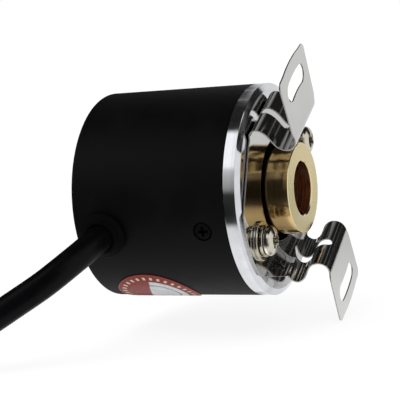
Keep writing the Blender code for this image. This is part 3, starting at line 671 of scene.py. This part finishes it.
def coil_points():
    """Two layers of turns: inwards on the lower one, outwards on the upper one."""
    pts = []
    n = int(COIL_TURNS * 36)
    for i in range(2, n + 1):
        t = i / n
        pts.append((COIL_START - 360 * COIL_TURNS * t, COIL_OUTER + (COIL_INNER - COIL_OUTER) * t,
                    LAYER_LOW))
    base = COIL_START - 360 * COIL_TURNS
    for i in range(1, n + 1):
        t = i / n
        lift = min(1.0, i / 6.0)
        lift = lift * lift * (3 - 2 * lift)
        pts.append((base - 360 * COIL_TURNS * t, COIL_INNER + (COIL_OUTER - COIL_INNER) * t,
                    LAYER_LOW + (LAYER_HIGH - LAYER_LOW) * lift))
    last = base - 360 * COIL_TURNS
    for i in range(1, 10):
        pts.append((last - COIL_EXTRA * i / 9, COIL_OUTER, LAYER_HIGH))
    return [(COIL_C[0] + r * math.cos(math.radians(d)), COIL_C[1] + r * math.sin(math.radians(d)), z)
            for d, r, z in pts], last - COIL_EXTRA


turns, END_DEG = coil_points()
cable_path = spline(ROUTE + [(-75.5, -46.6, -22.9), (-81.5, -47.9, -22.5), (-87.0, -48.0, -22.25)]
                    + turns, 1.4)
cable = sweep("signal_cable", cable_path, CABLE_D / 2, "cable_sheath", 36)
housing(cable, "cable", "cable_coil", slot="cable_sheath")

# stripped conductors at the free end, resting on the upper layer
lead_pieces = []
for i, tag in enumerate(("red", "black", "green", "white")):
    pts = []
    lane = (-1.15, -0.4, 0.4, 1.15)[i]
    side = (0.45, -0.5, 0.5, -0.45)[i]
    tip_deg = END_DEG - 52.0 - 2.5 * ((i * 7) % 4)
    rest = 25.2 + 1.9 * i
    for k in range(13):
        t = k / 12
        deg = END_DEG + 4.0 + (tip_deg - END_DEG - 4.0) * t
        ease = min(1.0, max(0.0, (t - 0.08) / 0.42))
        ease = ease * ease * (3 - 2 * ease)
        r = COIL_OUTER + lane * (1 - ease) + (rest - COIL_OUTER) * ease \
            + 0.35 * math.sin(5.0 * t + i) * ease
        hump = 1.5 * math.sin(math.pi * min(1.0, t / 0.62)) if t < 0.62 else 0.0
        z = (LAYER_HIGH + side) * (1 - ease) + (LAYER_HIGH + CABLE_D / 2 + 0.62) * ease + hump * ease
        a = math.radians(deg)
        pts.append((COIL_C[0] + r * math.cos(a), COIL_C[1] + r * math.sin(a), z))
    line = spline(pts, 0.5)
    cut_at = int(len(line) * 0.84)
    lead = sweep(f"lead_wire_{tag}", line[:cut_at + 1], 0.6, f"lead_{tag}", 16)
    housing(lead, f"lead_{tag}", slot=f"lead_{tag}")
    tip = sweep(f"lead_tip_{tag}", line[cut_at - 1:],
                lambda i, s, g: 0.36 + 0.05 * math.cos(6 * g + 2.4 * s), "tinned", 24, sharp=70.0)
    housing(tip, slot=f"lead_{tag}")
    lead_pieces += [lead, tip]


def tie(name, node, deg):
    """A moulded strap round the bundle with a square head and a cut tail on the outer side."""
    a, b = COIL_R_IN - 0.75, COIL_R_OUT + 0.45
    lo, hi = REST_Z + 0.45, REST_Z + TIE_T + COIL_H + 0.1
    rad, n = 2.6, 8
    loop = []
    for cx, cz, g0 in ((b - rad, hi - rad, 0), (a + rad, hi - rad, 90),
                       (a + rad, lo + rad, 180), (b - rad, lo + rad, 270)):
        for k in range(n + 1):
            g = math.radians(g0 + 90 * k / n)
            loop.append((cx + rad * math.cos(g), cz + rad * math.sin(g), math.cos(g), math.sin(g)))
    bm = bmesh.new()
    section = [(-1.75, 0.28), (-1.6, 0.43), (1.6, 0.43), (1.75, 0.28),
               (1.75, -0.28), (1.6, -0.43), (-1.6, -0.43), (-1.75, -0.28)]
    rings = []
    for r, z, nr, nz in loop:
        rings.append([bm.verts.new(((r + nr * h) * MM, w * MM, (z + nz * h) * MM)) for w, h in section])
    for i in range(len(rings)):
        p, q = rings[i], rings[(i + 1) % len(rings)]
        for k in range(8):
            j = (k + 1) % 8
            bm.faces.new((p[k], p[j], q[j], q[k]))
    head = bmesh.new()
    bmesh.ops.create_cube(head, size=1.0)
    bmesh.ops.scale(head, vec=(3.0 * MM, 4.8 * MM, 4.6 * MM), verts=head.verts)
    bmesh.ops.translate(head, vec=((b + 1.2) * MM, 0, (lo + hi) / 2 * MM), verts=head.verts)
    bmesh.ops.bevel(head, geom=list(head.edges), offset=0.45 * MM, segments=3, affect="EDGES")
    tail = bmesh.new()
    bmesh.ops.create_cube(tail, size=1.0)
    bmesh.ops.scale(tail, vec=(2.6 * MM, 3.3 * MM, 0.85 * MM), verts=tail.verts)
    bmesh.ops.translate(tail, vec=((b + 3.2) * MM, 0, (lo + hi) / 2 * MM), verts=tail.verts)
    bmesh.ops.bevel(tail, geom=list(tail.edges), offset=0.12 * MM, segments=2, affect="EDGES")
    for extra in (head, tail):
        me = bpy.data.meshes.new("part")
        extra.to_mesh(me)
        bm.from_mesh(me)
        extra.free()
        bpy.data.meshes.remove(me)
    ob = to_object(name, bm, "chip_black", 40.0, merge=0)
    ob.data.transform(Matrix.Translation((COIL_C[0] * MM, COIL_C[1] * MM, 0))
                      @ Matrix.Rotation(math.radians(deg), 4, "Z"))
    return housing(ob, node, slot="chip_black")


tie_a = tie("bundle_tie_a", "coil_tie_a", 120.0)
tie_b = tie("bundle_tie_b", "coil_tie_b", 300.0)
tuple(c * MM for c in out_at(EXIT_R))

# ---------------------------------------------------------------- can
can = lathe("can_shell", rounded([
    (CAN_X0, BODY_R - CAN_WALL, 0.1), (CAN_X0, BODY_R, 0.14)]
    + [(x, BODY_R) for x in np.linspace(-3.2, -30.0, 42)]
    + [(CAN_X1, BODY_R, 1.05), (CAN_X1, 15.0), (CAN_X1, 9.0), (CAN_X1, 0),
       (CAN_X1 + CAN_WALL, 0), (CAN_X1 + CAN_WALL, 9.0), (CAN_X1 + CAN_WALL, BODY_R - CAN_WALL, 0.3)], 6),
    "can_black", 224)
holes = []
for deg in COVER_SCREW_DEG:
    holes.append(radial(lathe("hole", rounded([(15.0, 0), (15.0, 1.3), (18.2, 1.3), (18.7, 1.72),
                                               (20.5, 1.8), (20.5, 0)]), "can_black", 48), deg,
                        COVER_SCREW_X))
holes.append(radial(lathe("hole", [(12.0, 0), (12.0, CAN_HOLE_R), (18.7, CAN_HOLE_R),
                                   (19.3, CAN_HOLE_R + 0.3), (22.0, CAN_HOLE_R + 0.3), (22.0, 0)],
                          "can_black", 64), CABLE_DEG, CABLE_X))
carve(can, holes)
round_normals(can, BODY_R)
housing(can, "cover_can", slot="can_black")

# ---------------------------------------------------------------- flange
flange = lathe("flange_body", rounded([
    (0.3, 10.35, 0.12), (0.3, 17.9, 0.04), (-0.22, 18.86, 0.04), (-0.3, BODY_R, 0.05), (-1.2, BODY_R),
    (-RIM_T, BODY_R, 0.08), (-RIM_T, SPIGOT_R), (-3.1, SPIGOT_R), (-3.1, 16.9), (-4.2, 16.9),
    (-4.2, SPIGOT_R), (-9.5, SPIGOT_R, 0.2), (-9.5, 12.0), (-18.8, 12.0, 0.1), (-18.8, 10.65),
    (-18.2, 10.65), (-18.2, 11.15), (-17.1, 11.15), (-17.1, 10.65), (-3.6, 10.65), (-3.6, 8.8),
    (-1.9, 8.8), (-1.9, 10.35)], 4), "flange_aluminium", 256)
holes = [at_angle(lathe("hole", [(1.5, 0), (1.5, 1.6), (-5.4, 1.6), (-5.4, 0)], "can_black", 40),
                  deg, 0.0, PLATE_SCREW_R) for deg in PLATE_SCREW_DEG]
holes += [radial(lathe("hole", [(14.2, 0), (14.2, 1.3), (19.0, 1.3), (19.0, 0)], "can_black", 32),
                 deg, COVER_SCREW_X) for deg in COVER_SCREW_DEG]
carve(flange, holes)
round_normals(flange, BODY_R)
# the front face takes the lighter copy of the aluminium, a painted highlight
flange.data.materials.append(MAT["flange_face"])
for p in flange.data.polygons:
    if p.normal.x > 0.9 and math.hypot(p.center.y, p.center.z) > 10.3 * MM and p.center.x > 0.2 * MM:
        p.material_index = 1
housing(flange, "front_flange", slot="flange_aluminium")

seal = lathe("shaft_lip_seal", rounded([
    (-0.25, 9.55, 0.12), (-0.25, 10.1, 0.12), (-1.65, 10.1, 0.1), (-1.65, 8.5, 0.06),
    (-1.25, 8.3, 0.04), (-0.95, 8.45, 0.08), (-0.85, 9.1, 0.15)], 4), "rubber_black", 128)
housing(seal, "shaft_seal", slot="rubber_black")


# ---------------------------------------------------------------- spring plate
ARM = spline([(PLATE_X, 13.0), (PLATE_X + 0.02, 14.2), (0.85, 15.70), (1.95, 16.40),
              (3.10, 15.90), (4.10, 14.60), (4.95, 13.10), (6.30, 12.25),
              (7.50, 12.35), (8.28, 13.05), (TAB_X - 0.02, 14.1), (TAB_X, 14.8)], 0.16)
ARM_S = 13.0 + np.concatenate([[0], np.cumsum(np.linalg.norm(np.diff(ARM, axis=0), axis=1))])
ARM_T = np.gradient(ARM, ARM_S, axis=0)
ARM_T /= np.linalg.norm(ARM_T, axis=1)[:, None]
FLAT_TAB = ARM_S[-1]
TAB_SHIFT = FLAT_TAB - ARM[-1, 1]
STRIP = math.radians(STRIP_DEG)


def bent(s, w, off):
    """Flat pattern (s, w) lifted by off along the sheet's normal: point and normal."""
    sign = 1.0 if s >= 0 else -1.0
    d = abs(s)
    if d <= 13.0:
        x, r, nx, nr = PLATE_X, d, 1.0, 0.0
    elif d >= FLAT_TAB:
        x, r, nx, nr = TAB_X, d - TAB_SHIFT, 1.0, 0.0
    else:
        x = float(np.interp(d, ARM_S, ARM[:, 0]))
        r = float(np.interp(d, ARM_S, ARM[:, 1]))
        tx = float(np.interp(d, ARM_S, ARM_T[:, 0]))
        tr = float(np.interp(d, ARM_S, ARM_T[:, 1]))
        ln = math.hypot(tx, tr)
        nx, nr = tr / ln, -tx / ln
    x += nx * off
    r = sign * (r + nr * off)
    ca, sa = math.cos(STRIP), math.sin(STRIP)
    return (Vector((x, r * ca + w * sa, r * sa - w * ca)),
            Vector((nx, sign * nr * ca, sign * nr * sa)))


def arc(cx, cy, r, a0, a1, n):
    return [(cx + r * math.cos(math.radians(a0 + (a1 - a0) * i / n)),
             cy + r * math.sin(math.radians(a0 + (a1 - a0) * i / n))) for i in range(n + 1)]


def half_outline():
    root, end = 14.5 + TAB_SHIFT, TAB_END + TAB_SHIFT
    side = []
    side += [(BASE_R * math.cos(math.radians(g)), BASE_R * math.sin(math.radians(g)))
             for g in np.linspace(-90, -71.5, 9)[1:]]
    side += [(6.15, -17.28), (6.4, -17.05)]
    side += [(13.75, -7.95), (14.05, -7.6), (14.3, -7.2), (14.55, -6.8), (14.85, -6.5), (15.4, -ARM_HALF)]
    side += [(root - 1.0, -ARM_HALF), (root - 0.55, -6.39), (root - 0.2, -6.46), (root + 0.2, -6.6),
             (root + 0.7, -6.85)]
    side += arc(root + 1.5, -6.5, 0.45, -110, -84, 3)
    side += arc(end - 1.75, -6.05, 1.3, -86, -20, 9)
    side += [(end - 0.42, -4.9), (end - 0.1, -2.5)]
    return side + [(end, 0.0)] + [(s, -w) for s, w in reversed(side)]


def plate_loops():
    half = half_outline()
    loops = [half + [(-s, -w) for s, w in half], arc(0, 0, 9.3, 0, 360, 120)[:-1]]
    for deg in PLATE_SCREW_DEG:
        a = math.radians(deg - STRIP_DEG)
        loops.append(arc(PLATE_SCREW_R * math.cos(a), -PLATE_SCREW_R * math.sin(a),
                         1.65, 0, 360, 32)[:-1])
    for sign in (1, -1):
        a0, a1 = 13.9, FLAT_TAB - 3.3
        slit = arc(a0, 0, SLIT_HALF, 90, 270, 12) + arc(a1, 0, SLIT_HALF, -90, 90, 12)
        loops.append([(sign * s, sign * w) for s, w in slit])
        rin, rout, h = SLOT_R - SLOT_W / 2, SLOT_R + SLOT_W / 2, SLOT_W / 2
        ce = math.radians(SLOT_HALF_DEG)
        cs, cw = SLOT_R * math.cos(ce), SLOT_R * math.sin(ce)
        mid = [(rout * math.cos(g), rout * math.sin(g)) for g in np.linspace(-ce, ce, 12)]
        mid += [(cs + h * math.cos(ce + g), cw + h * math.sin(ce + g))
                for g in np.linspace(0, math.pi, 14)[1:-1]]
        mid += [(rin * math.cos(g), rin * math.sin(g)) for g in np.linspace(ce, -ce, 10)]
        mid += [(cs + h * math.cos(-ce + math.pi + g), -cw + h * math.sin(-ce + math.pi + g))
                for g in np.linspace(0, math.pi, 14)[1:-1]]
        loops.append([(sign * (s + TAB_SHIFT), sign * w) for s, w in mid])
    return loops


def spring_plate():
    bm = bmesh.new()
    edges = []
    for loop in plate_loops():
        vs = [bm.verts.new((s, w, 0)) for s, w in loop]
        edges += [bm.edges.new((vs[i], vs[(i + 1) % len(vs)])) for i in range(len(vs))]
    bmesh.ops.triangle_fill(bm, edges=edges, use_beauty=True)
    for sign in (1, -1):
        for d in ARM_S[1:]:
            geom = list(bm.verts) + list(bm.edges) + list(bm.faces)
            bmesh.ops.bisect_plane(bm, geom=geom, plane_co=(sign * d, 0, 0),
                                   plane_no=(1, 0, 0), dist=1e-5)
    bmesh.ops.remove_doubles(bm, verts=bm.verts, dist=1e-3)
    bmesh.ops.dissolve_degenerate(bm, dist=1e-4, edges=bm.edges)
    for f in bm.faces:
        f.normal_update()
        if f.normal.z < 0:
            f.normal_flip()
    rim = 0.035
    outward = {}
    for e in bm.edges:
        if len(e.link_faces) != 1:
            continue
        f = e.link_faces[0]
        n = (e.verts[1].co - e.verts[0].co).cross(Vector((0, 0, 1)))
        n.normalize()
        if n.dot(f.calc_center_median() - e.verts[0].co) > 0:
            n.negate()
        for v in e.verts:
            outward[v] = outward.get(v, Vector((0, 0, 0))) + n
    verts, faces, corner = [], [], []
    rows = {}
    half = SHEET_T / 2

    def add(s, w, off):
        p, n = bent(s, w, off)
        verts.append(tuple(p * MM))
        return len(verts) - 1, n

    for v in bm.verts:
        if v in outward:
            n = outward[v].normalized()
            s, w = v.co.x, v.co.y
            si, wi = s - n.x * rim, w - n.y * rim
            a = add(si, wi, half)
            d = add(si, wi, -half)
            b = add(s, w, half - rim)
            c = add(s, w, rim - half)
            o = (bent(s + n.x * 0.02, w + n.y * 0.02, 0)[0] - bent(s, w, 0)[0]).normalized()
            rows[v] = (a, b, c, d, o)
        else:
            rows[v] = (add(v.co.x, v.co.y, half), None, None, add(v.co.x, v.co.y, -half), None)
    for f in bm.faces:
        front_side = list(reversed(f.verts))
        faces.append([rows[v][0][0] for v in front_side])
        corner += [rows[v][0][1] for v in front_side]
        faces.append([rows[v][3][0] for v in f.verts])
        corner += [-rows[v][3][1] for v in f.verts]
    edge_from = len(faces)
    for e in bm.edges:
        if len(e.link_faces) != 1:
            continue
        f = e.link_faces[0]
        loop = next(l for l in f.loops if l.edge == e)
        p, q = loop.vert, loop.link_loop_next.vert
        rp, rq = rows[p], rows[q]
        for k in range(3):
            np_ = [rp[0][1], rp[4], rp[4], -rp[3][1]]
            nq_ = [rq[0][1], rq[4], rq[4], -rq[3][1]]
            faces.append([rp[k][0], rq[k][0], rq[k + 1][0], rp[k + 1][0]])
            corner += [np_[k], nq_[k], nq_[k + 1], np_[k + 1]]
    bm.free()
    me = bpy.data.meshes.new("anti_rotation_spring")
    me.from_pydata(verts, [], faces)
    me.validate(clean_customdata=False)
    me.shade_smooth()
    me.normals_split_custom_set([tuple(n) for n in corner])
    me.materials.append(MAT["spring_stainless"])
    me.materials.append(MAT["sheared_edge"])
    # the middle band of each rim takes the darker edge steel, painted shade on the cut edges
    for i in range(edge_from, len(me.polygons)):
        if (i - edge_from) % 3 == 1:
            me.polygons[i].material_index = 1
    ob = bpy.data.objects.new("anti_rotation_spring", me)
    scene.collection.objects.link(ob)
    return ob


housing(spring_plate(), "spring_plate", slot="spring_stainless")

# ---------------------------------------------------------------- screws and washers
for tag, deg in zip(("upper", "lower"), PLATE_SCREW_DEG):
    fw = lathe(f"plain_washer_{tag}", rounded([(0.71, 1.6, 0.06), (0.71, 3.45, 0.1), (1.21, 3.45, 0.12),
                                               (1.21, 1.6, 0.06)], 4), "screw_nickel", 96)
    housing(at_angle(fw, deg, 0.0, PLATE_SCREW_R), f"flat_washer_{tag}", slot="screw_nickel")

    # split washer: one turn of a flat bar that rises towards its cut ends
    bm = bmesh.new()
    sect = [(0.0, 1.62), (0.0, 2.7), (0.06, 2.76), (0.5, 2.76), (0.56, 2.7), (0.56, 1.62)]
    rows = []
    for k in range(97):
        t = k / 96
        g = math.radians(96 + 348 * t)
        lift = 1.28 + 0.10 * t
        rows.append([bm.verts.new(((lift + dx) * MM, r * math.cos(g) * MM, r * math.sin(g) * MM))
                     for dx, r in sect])
    for p, q in zip(rows[:-1], rows[1:]):
        for i in range(6):
            j = (i + 1) % 6
            bm.faces.new((p[i], p[j], q[j], q[i]))
    bm.faces.new(rows[0])
    bm.faces.new(list(reversed(rows[-1])))
    lw = to_object(f"split_washer_{tag}", bm, "screw_nickel", 40.0)
    housing(at_angle(lw, deg, 0.0, PLATE_SCREW_R), f"lock_washer_{tag}", slot="screw_nickel")

    sc = lathe(f"pan_screw_{tag}", rounded([
        (-4.9, 0), (-4.9, 1.1, 0.05), (-4.6, 1.38, 0.05), (2.01, 1.38), (2.01, 2.5, 0.08),
        (2.16, 2.62, 0.1), (2.62, 2.6, 0.25), (3.12, 2.28, 0.4), (3.45, 1.4, 0.8), (3.58, 0)], 5),
        "screw_nickel", 128, 40.0)
    carve(sc, [cross_plug("plug", 3.52, 1.35, 3.05, 0.62)], 36.0)
    housing(at_angle(sc, deg, 0.0, PLATE_SCREW_R, 20.0), f"plate_screw_{tag}", slot="screw_nickel")

for i, deg in enumerate(COVER_SCREW_DEG):
    sc = lathe(f"side_screw_{i + 1}", rounded([
        (14.8, 0), (14.8, 0.95, 0.1), (18.1, 0.95, 0.1), (18.6, 1.45, 0.06), (18.74, 1.54, 0.05),
        (18.9, 1.3, 0.12), (18.95, 0)], 4), "screw_black", 72)
    carve(sc, [cross_plug("plug", 18.95, 0.85, 2.0, 0.46)], 36.0)
    housing(radial(sc, deg, COVER_SCREW_X), f"cover_screw_{i + 1}", slot="black_steel")

# ---------------------------------------------------------------- rotor, the part that shows
hub = lathe("shaft_hub", rounded([
    (HUB_X - 0.25, BORE_R, 0.08), (HUB_X, BORE_R + 0.24, 0.05), (HUB_X, 6.5), (HUB_X, HUB_R - 0.12, 0.08),
    (HUB_X - 0.16, HUB_R, 0.08), (3.0, HUB_R), (0.0, HUB_R), (-1.55, HUB_R, 0.1),
    (-1.55, JOURNAL_R), (-17.3, JOURNAL_R, 0.1), (-17.3, TAIL_R), (SHAFT_END + 0.3, TAIL_R),
    (SHAFT_END, TAIL_R - 0.3), (SHAFT_END, 0), (BORE_END - 1.4, 0), (BORE_END, BORE_R),
    (-7.0, BORE_R), (0.0, BORE_R)], 4), "brass", 224)
carve(hub, [radial(lathe("hole", [(3.5, 0), (3.5, 1.6), (7.75, 1.6), (8.3, 1.95), (9.5, 1.95), (9.5, 0)],
                         "can_black", 48), deg, SET_SCREW_X) for deg in SET_SCREW_DEG])
round_normals(hub, HUB_R)
hub.data.materials.append(MAT["brass_face"])
hub.data.materials.append(MAT["brass_bore"])
# faces at the front take the paler brass copy, a painted highlight
for p in hub.data.polygons:
    if p.center.x > (HUB_X - 0.22) * MM:
        p.material_index = 1
    # the bore takes the darker, redder brass copy, painted shade inside the bore
    elif math.hypot(p.center.y, p.center.z) < (BORE_R + 0.1) * MM:
        p.material_index = 2
housing(hub, "hollow_shaft", slot="brass", body="rotor")
for tag, deg in zip("ab", SET_SCREW_DEG):
    st = lathe(f"grub_screw_{tag}", rounded([(4.95, 0), (4.95, 1.1, 0.05), (5.25, 1.4, 0.05)]
                                            + [(5.4 + 0.25 * k, 1.4 if k % 2 else 1.28) for k in range(9)]
                                            + [(7.62, 1.4, 0.05), (7.85, 1.18, 0.05), (7.85, 0)], 3),
               "black_steel", 64, 30.0)
    carve(st, [hexagon_prism("hex", 0.75, 6.5, 8.5, "black_steel")])
    housing(radial(st, deg, SET_SCREW_X), f"set_screw_{tag}", slot="black_steel", body="rotor")

# ---------------------------------------------------------------- cable entry
grommet = lathe("cable_entry_grommet", rounded([
    (14.4, 2.5, 0.1), (14.4, 4.0, 0.2), (17.0, 4.5, 0.15), (17.1, 3.4, 0.1), (19.3, 3.4, 0.1),
    (19.3, 4.2, 0.25), (20.0, 4.2, 0.35), (20.35, 3.55, 0.15), (20.5, 3.35, 0.08), (20.8, 3.35, 0.15),
    (21.0, 2.9, 0.12), (21.0, 2.5, 0.1)], 5), "rubber_black", 96)
housing(radial(grommet, CABLE_DEG, CABLE_X), "cable_grommet", slot="rubber_black")


# ---------------------------------------------------------------- sticker
def sticker():
    bm = bmesh.new()
    uv = bm.loops.layers.uv.new("UVMap")
    n, levels = 120, [0, 0.15, 0.3, 0.45, 0.6, 0.72, 0.84, 0.94, 0.985, 1.0]
    a0 = math.radians(STICKER_DEG)
    flat = {}

    def vert(r, lv, i):
        g = 2 * math.pi * i / n
        x = STICKER_X + STICKER_R * lv * math.cos(g)
        a = a0 + STICKER_R * lv * math.sin(g) / BODY_R
        v = bm.verts.new((x * MM, r * math.cos(a) * MM, r * math.sin(a) * MM))
        flat[v] = (0.5 + 0.5 * lv * math.cos(g), 0.5 + 0.5 * lv * math.sin(g))
        return v

    shells = []
    for r in (BODY_R + 0.19, BODY_R + 0.04):
        shells.append([[vert(r - (0.05 if lv == 1.0 and r > BODY_R + 0.1 else 0.0), lv, i)
                        for i in range(n if lv else 1)] for lv in levels])
    for rows in shells:
        for i in range(n):
            j = (i + 1) % n
            bm.faces.new((rows[0][0], rows[1][i], rows[1][j]))
            for k in range(1, len(levels) - 1):
                bm.faces.new((rows[k][i], rows[k + 1][i], rows[k + 1][j], rows[k][j]))
    for i in range(n):
        j = (i + 1) % n
        bm.faces.new((shells[0][-1][i], shells[1][-1][i], shells[1][-1][j], shells[0][-1][j]))
    for f in bm.faces:
        for lp in f.loops:
            lp[uv].uv = flat[lp.vert]
    return to_object("round_label", bm, "sticker_face", 50.0, merge=0)


housing(sticker(), "round_sticker", slot="sticker_face")

# ---------------------------------------------------------------- pieces that keep their CAD shape
KEEP = {
    "bearing_spacer": "aluminium_plain", "wave_washer": "bearing_steel", "retaining_ring": "black_steel",
    "cover_o_ring": "rubber_black", "disc_hub": "aluminium_plain", "disc_clamp_ring": "aluminium_plain",
    "code_disc": "clear_glass", "led_emitter": "clear_glass", "reticle": "clear_glass",
    "led_holder": "chip_black", "photo_sensor": "chip_black", "signal_chip": "chip_black",
    "main_board": "board_green", "smoothing_capacitor": "aluminium_plain",
    "lead_connector": "plastic_natural", "inner_lead_bundle": "plastic_natural",
    "cable_clamp": "black_steel",
}
for k in (1, 2, 3):
    KEEP[f"board_stud_{k}"] = "brass"
    KEEP[f"board_nut_{k}"] = "screw_nickel"
for k in ("front", "rear"):
    KEEP[f"{k}_ball_cage"] = "bearing_steel"
    KEEP[f"{k}_bearing_inner_ring"] = "bearing_steel"
    KEEP[f"{k}_bearing_outer_ring"] = "bearing_steel"
for name, mat in KEEP.items():
    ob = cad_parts[name]
    ob.data.materials.clear()
    ob.data.materials.append(MAT[mat])

# ---------------------------------------------------------------- studio
floor_bm = bmesh.new()
bmesh.ops.create_grid(floor_bm, x_segments=4, y_segments=4, size=6.0)
bmesh.ops.translate(floor_bm, vec=(0, 0, (REST_Z - 0.02) * MM), verts=floor_bm.verts)
me = bpy.data.meshes.new("floor")
floor_bm.to_mesh(me)
floor_bm.free()
floor = bpy.data.objects.new("floor", me)
scene.collection.objects.link(floor)
fm = Shade("floor_paper", (0.16, 0.16, 0.16), 0.9, 0.0, 0.0)
fm.b.inputs["Emission Color"].default_value = (1.0, 1.0, 1.0, 1.0)
fm.b.inputs["Emission Strength"].default_value = 0.86
grain = fm.noise(fm.obj(), 900.0, 3.0, 0.6)
fm.color(fm.mix(grain, (0.150, 0.150, 0.150), (0.165, 0.165, 0.165)))
me.materials.append(fm.m)
floor.visible_glossy = False

world = bpy.data.worlds.new("studio")
scene.world = world
world.use_nodes = True
wt = world.node_tree
wt.nodes.clear()


class World(Shade):
    def __init__(self, nt):
        self.nt = nt
        self._obj = None


W = World(wt)
direction = W.new("ShaderNodeTexCoord").outputs["Generated"]
d = W.split(direction)
psi = W.math("DIVIDE", W.math("ARCTAN2", d[2], W.math("MULTIPLY", d[1], -1.0)), 2 * math.pi)
psi = W.math("ADD", psi, 0.5)


def stops(table):
    return [((deg + 180) / 360.0, (v, v, v * (1.0 if v < 0.4 else 1.015))) for deg, v in table]


# reflections seen by faces that look away from the hub side, and by those that look towards it
REAR = [(-180, 0.03), (-160, 0.03), (-146, 0.05), (-136, 0.76), (-100, 0.78), (-60, 0.79), (-34, 0.76), (-28, 0.03),
        (-20, 0.006), (-8, 0.020), (3, 0.03), (9, 0.30), (22, 0.48), (28, 0.60), (33, 1.12), (70, 1.12),
        (75, 0.024), (88, 0.014), (100, 0.018), (112, 0.008), (119, 0.012), (121, 0.22), (123, 0.012),
        (140, 0.015), (143, 0.16), (146, 0.015), (165, 0.02), (180, 0.03)]
HUB_SIDE = [(-180, 0.80), (-140, 0.86), (-78, 1.2), (-58, 1.05), (-42, 0.52), (-26, 0.09), (-6, 0.010),
            (8, 0.03), (14, 0.010), (30, 0.02), (36, 0.05), (42, 0.02), (62, 0.03), (70, 0.03),
            (85, 0.015), (105, 0.02), (125, 0.4), (140, 0.55), (180, 0.80)]
FRONT = [(-180, 0.70), (-177.5, 0.68), (-175.5, 0.64), (-172, 0.68), (-170.5, 0.58), (-169, 0.66),
         (-167, 0.80), (-158, 0.74), (-150, 0.70), (-130, 0.46), (-112, 0.30), (-95, 0.50), (-62, 0.60),
         (-45, 0.45), (-32, 0.06), (-15, 0.012), (20, 0.012), (34, 0.03), (42, 0.10), (48, 0.02),
         (70, 0.05), (78, 0.012), (148, 0.012), (156, 0.50), (162, 0.72), (180, 0.71)]
FAR = [(-180, 0.012), (-168, 0.012), (-160, 0.75), (-130, 0.75), (-95, 0.60), (-62, 0.75), (-45, 0.55),
       (-32, 0.05), (-15, 0.012), (28, 0.012), (36, 0.60), (52, 0.80), (66, 0.55), (74, 0.02),
       (104, 0.012), (117, 0.012), (119, 0.20), (121, 0.012), (143, 0.012), (145, 0.14), (147, 0.012),
       (158, 0.02), (180, 0.012)]
rear = W.ramp(psi, stops(REAR))
rear = W.mix(W.span(d[0], -0.366, -0.358), rear, W.ramp(psi, stops(HUB_SIDE)))
front = W.ramp(psi, stops(FRONT))
side = W.span(d[0], -0.12, 0.12)
glossy = W.mix(side, rear, front)
# a dark flag stands to the right of the backdrop
far = W.ramp(psi, stops(FAR))
glossy = W.mix(W.span(d[0], 0.385, 0.40), glossy, far)
flag = W.math("MULTIPLY", W.span(d[0], 0.344, 0.350), W.span(d[0], 0.367, 0.372, 1.0, 0.0))
flag = W.math("MULTIPLY", flag, W.math("MULTIPLY", W.span(psi, 0.0165, 0.0195), W.span(psi, 0.06, 0.07, 1.0, 0.0)))
glossy = W.mix(flag, glossy, (0.012, 0.012, 0.012))
# straight along the shaft the reflections turn to the plain backdrop
along = W.span(d[0], 0.67, 0.76)
glossy = W.mix(along, glossy, (0.74, 0.74, 0.76))
world.cycles.sampling_method = "NONE"
path = W.new("ShaderNodeLightPath")
bg_view = W.new("ShaderNodeBackground")
bg_view.inputs["Color"].default_value = (1.0, 1.0, 1.0, 1.0)
bg_view.inputs["Strength"].default_value = 1.0
bg_soft = W.new("ShaderNodeBackground")
bg_soft.inputs["Color"].default_value = (0.98, 0.99, 1.0, 1.0)
bg_soft.inputs["Strength"].default_value = 0.80
bg_gloss = W.new("ShaderNodeBackground")
W.link(glossy, bg_gloss.inputs["Color"])
bg_gloss.inputs["Strength"].default_value = 1.0
mix1 = W.new("ShaderNodeMixShader")
W.link(path.outputs["Is Glossy Ray"], mix1.inputs[0])
W.link(bg_soft.outputs[0], mix1.inputs[1])
W.link(bg_gloss.outputs[0], mix1.inputs[2])
mix2 = W.new("ShaderNodeMixShader")
W.link(path.outputs["Is Camera Ray"], mix2.inputs[0])
W.link(mix1.outputs[0], mix2.inputs[1])
W.link(bg_view.outputs[0], mix2.inputs[2])
out = W.new("ShaderNodeOutputWorld")
W.link(mix2.outputs[0], out.inputs["Surface"])

sun_data = bpy.data.lights.new("key", "SUN")
sun_data.energy = 1.35
sun_data.angle = math.radians(40)
sun = bpy.data.objects.new("key", sun_data)
sun.rotation_euler = (math.radians(28), math.radians(-14), 0)
sun.visible_glossy = False
scene.collection.objects.link(sun)
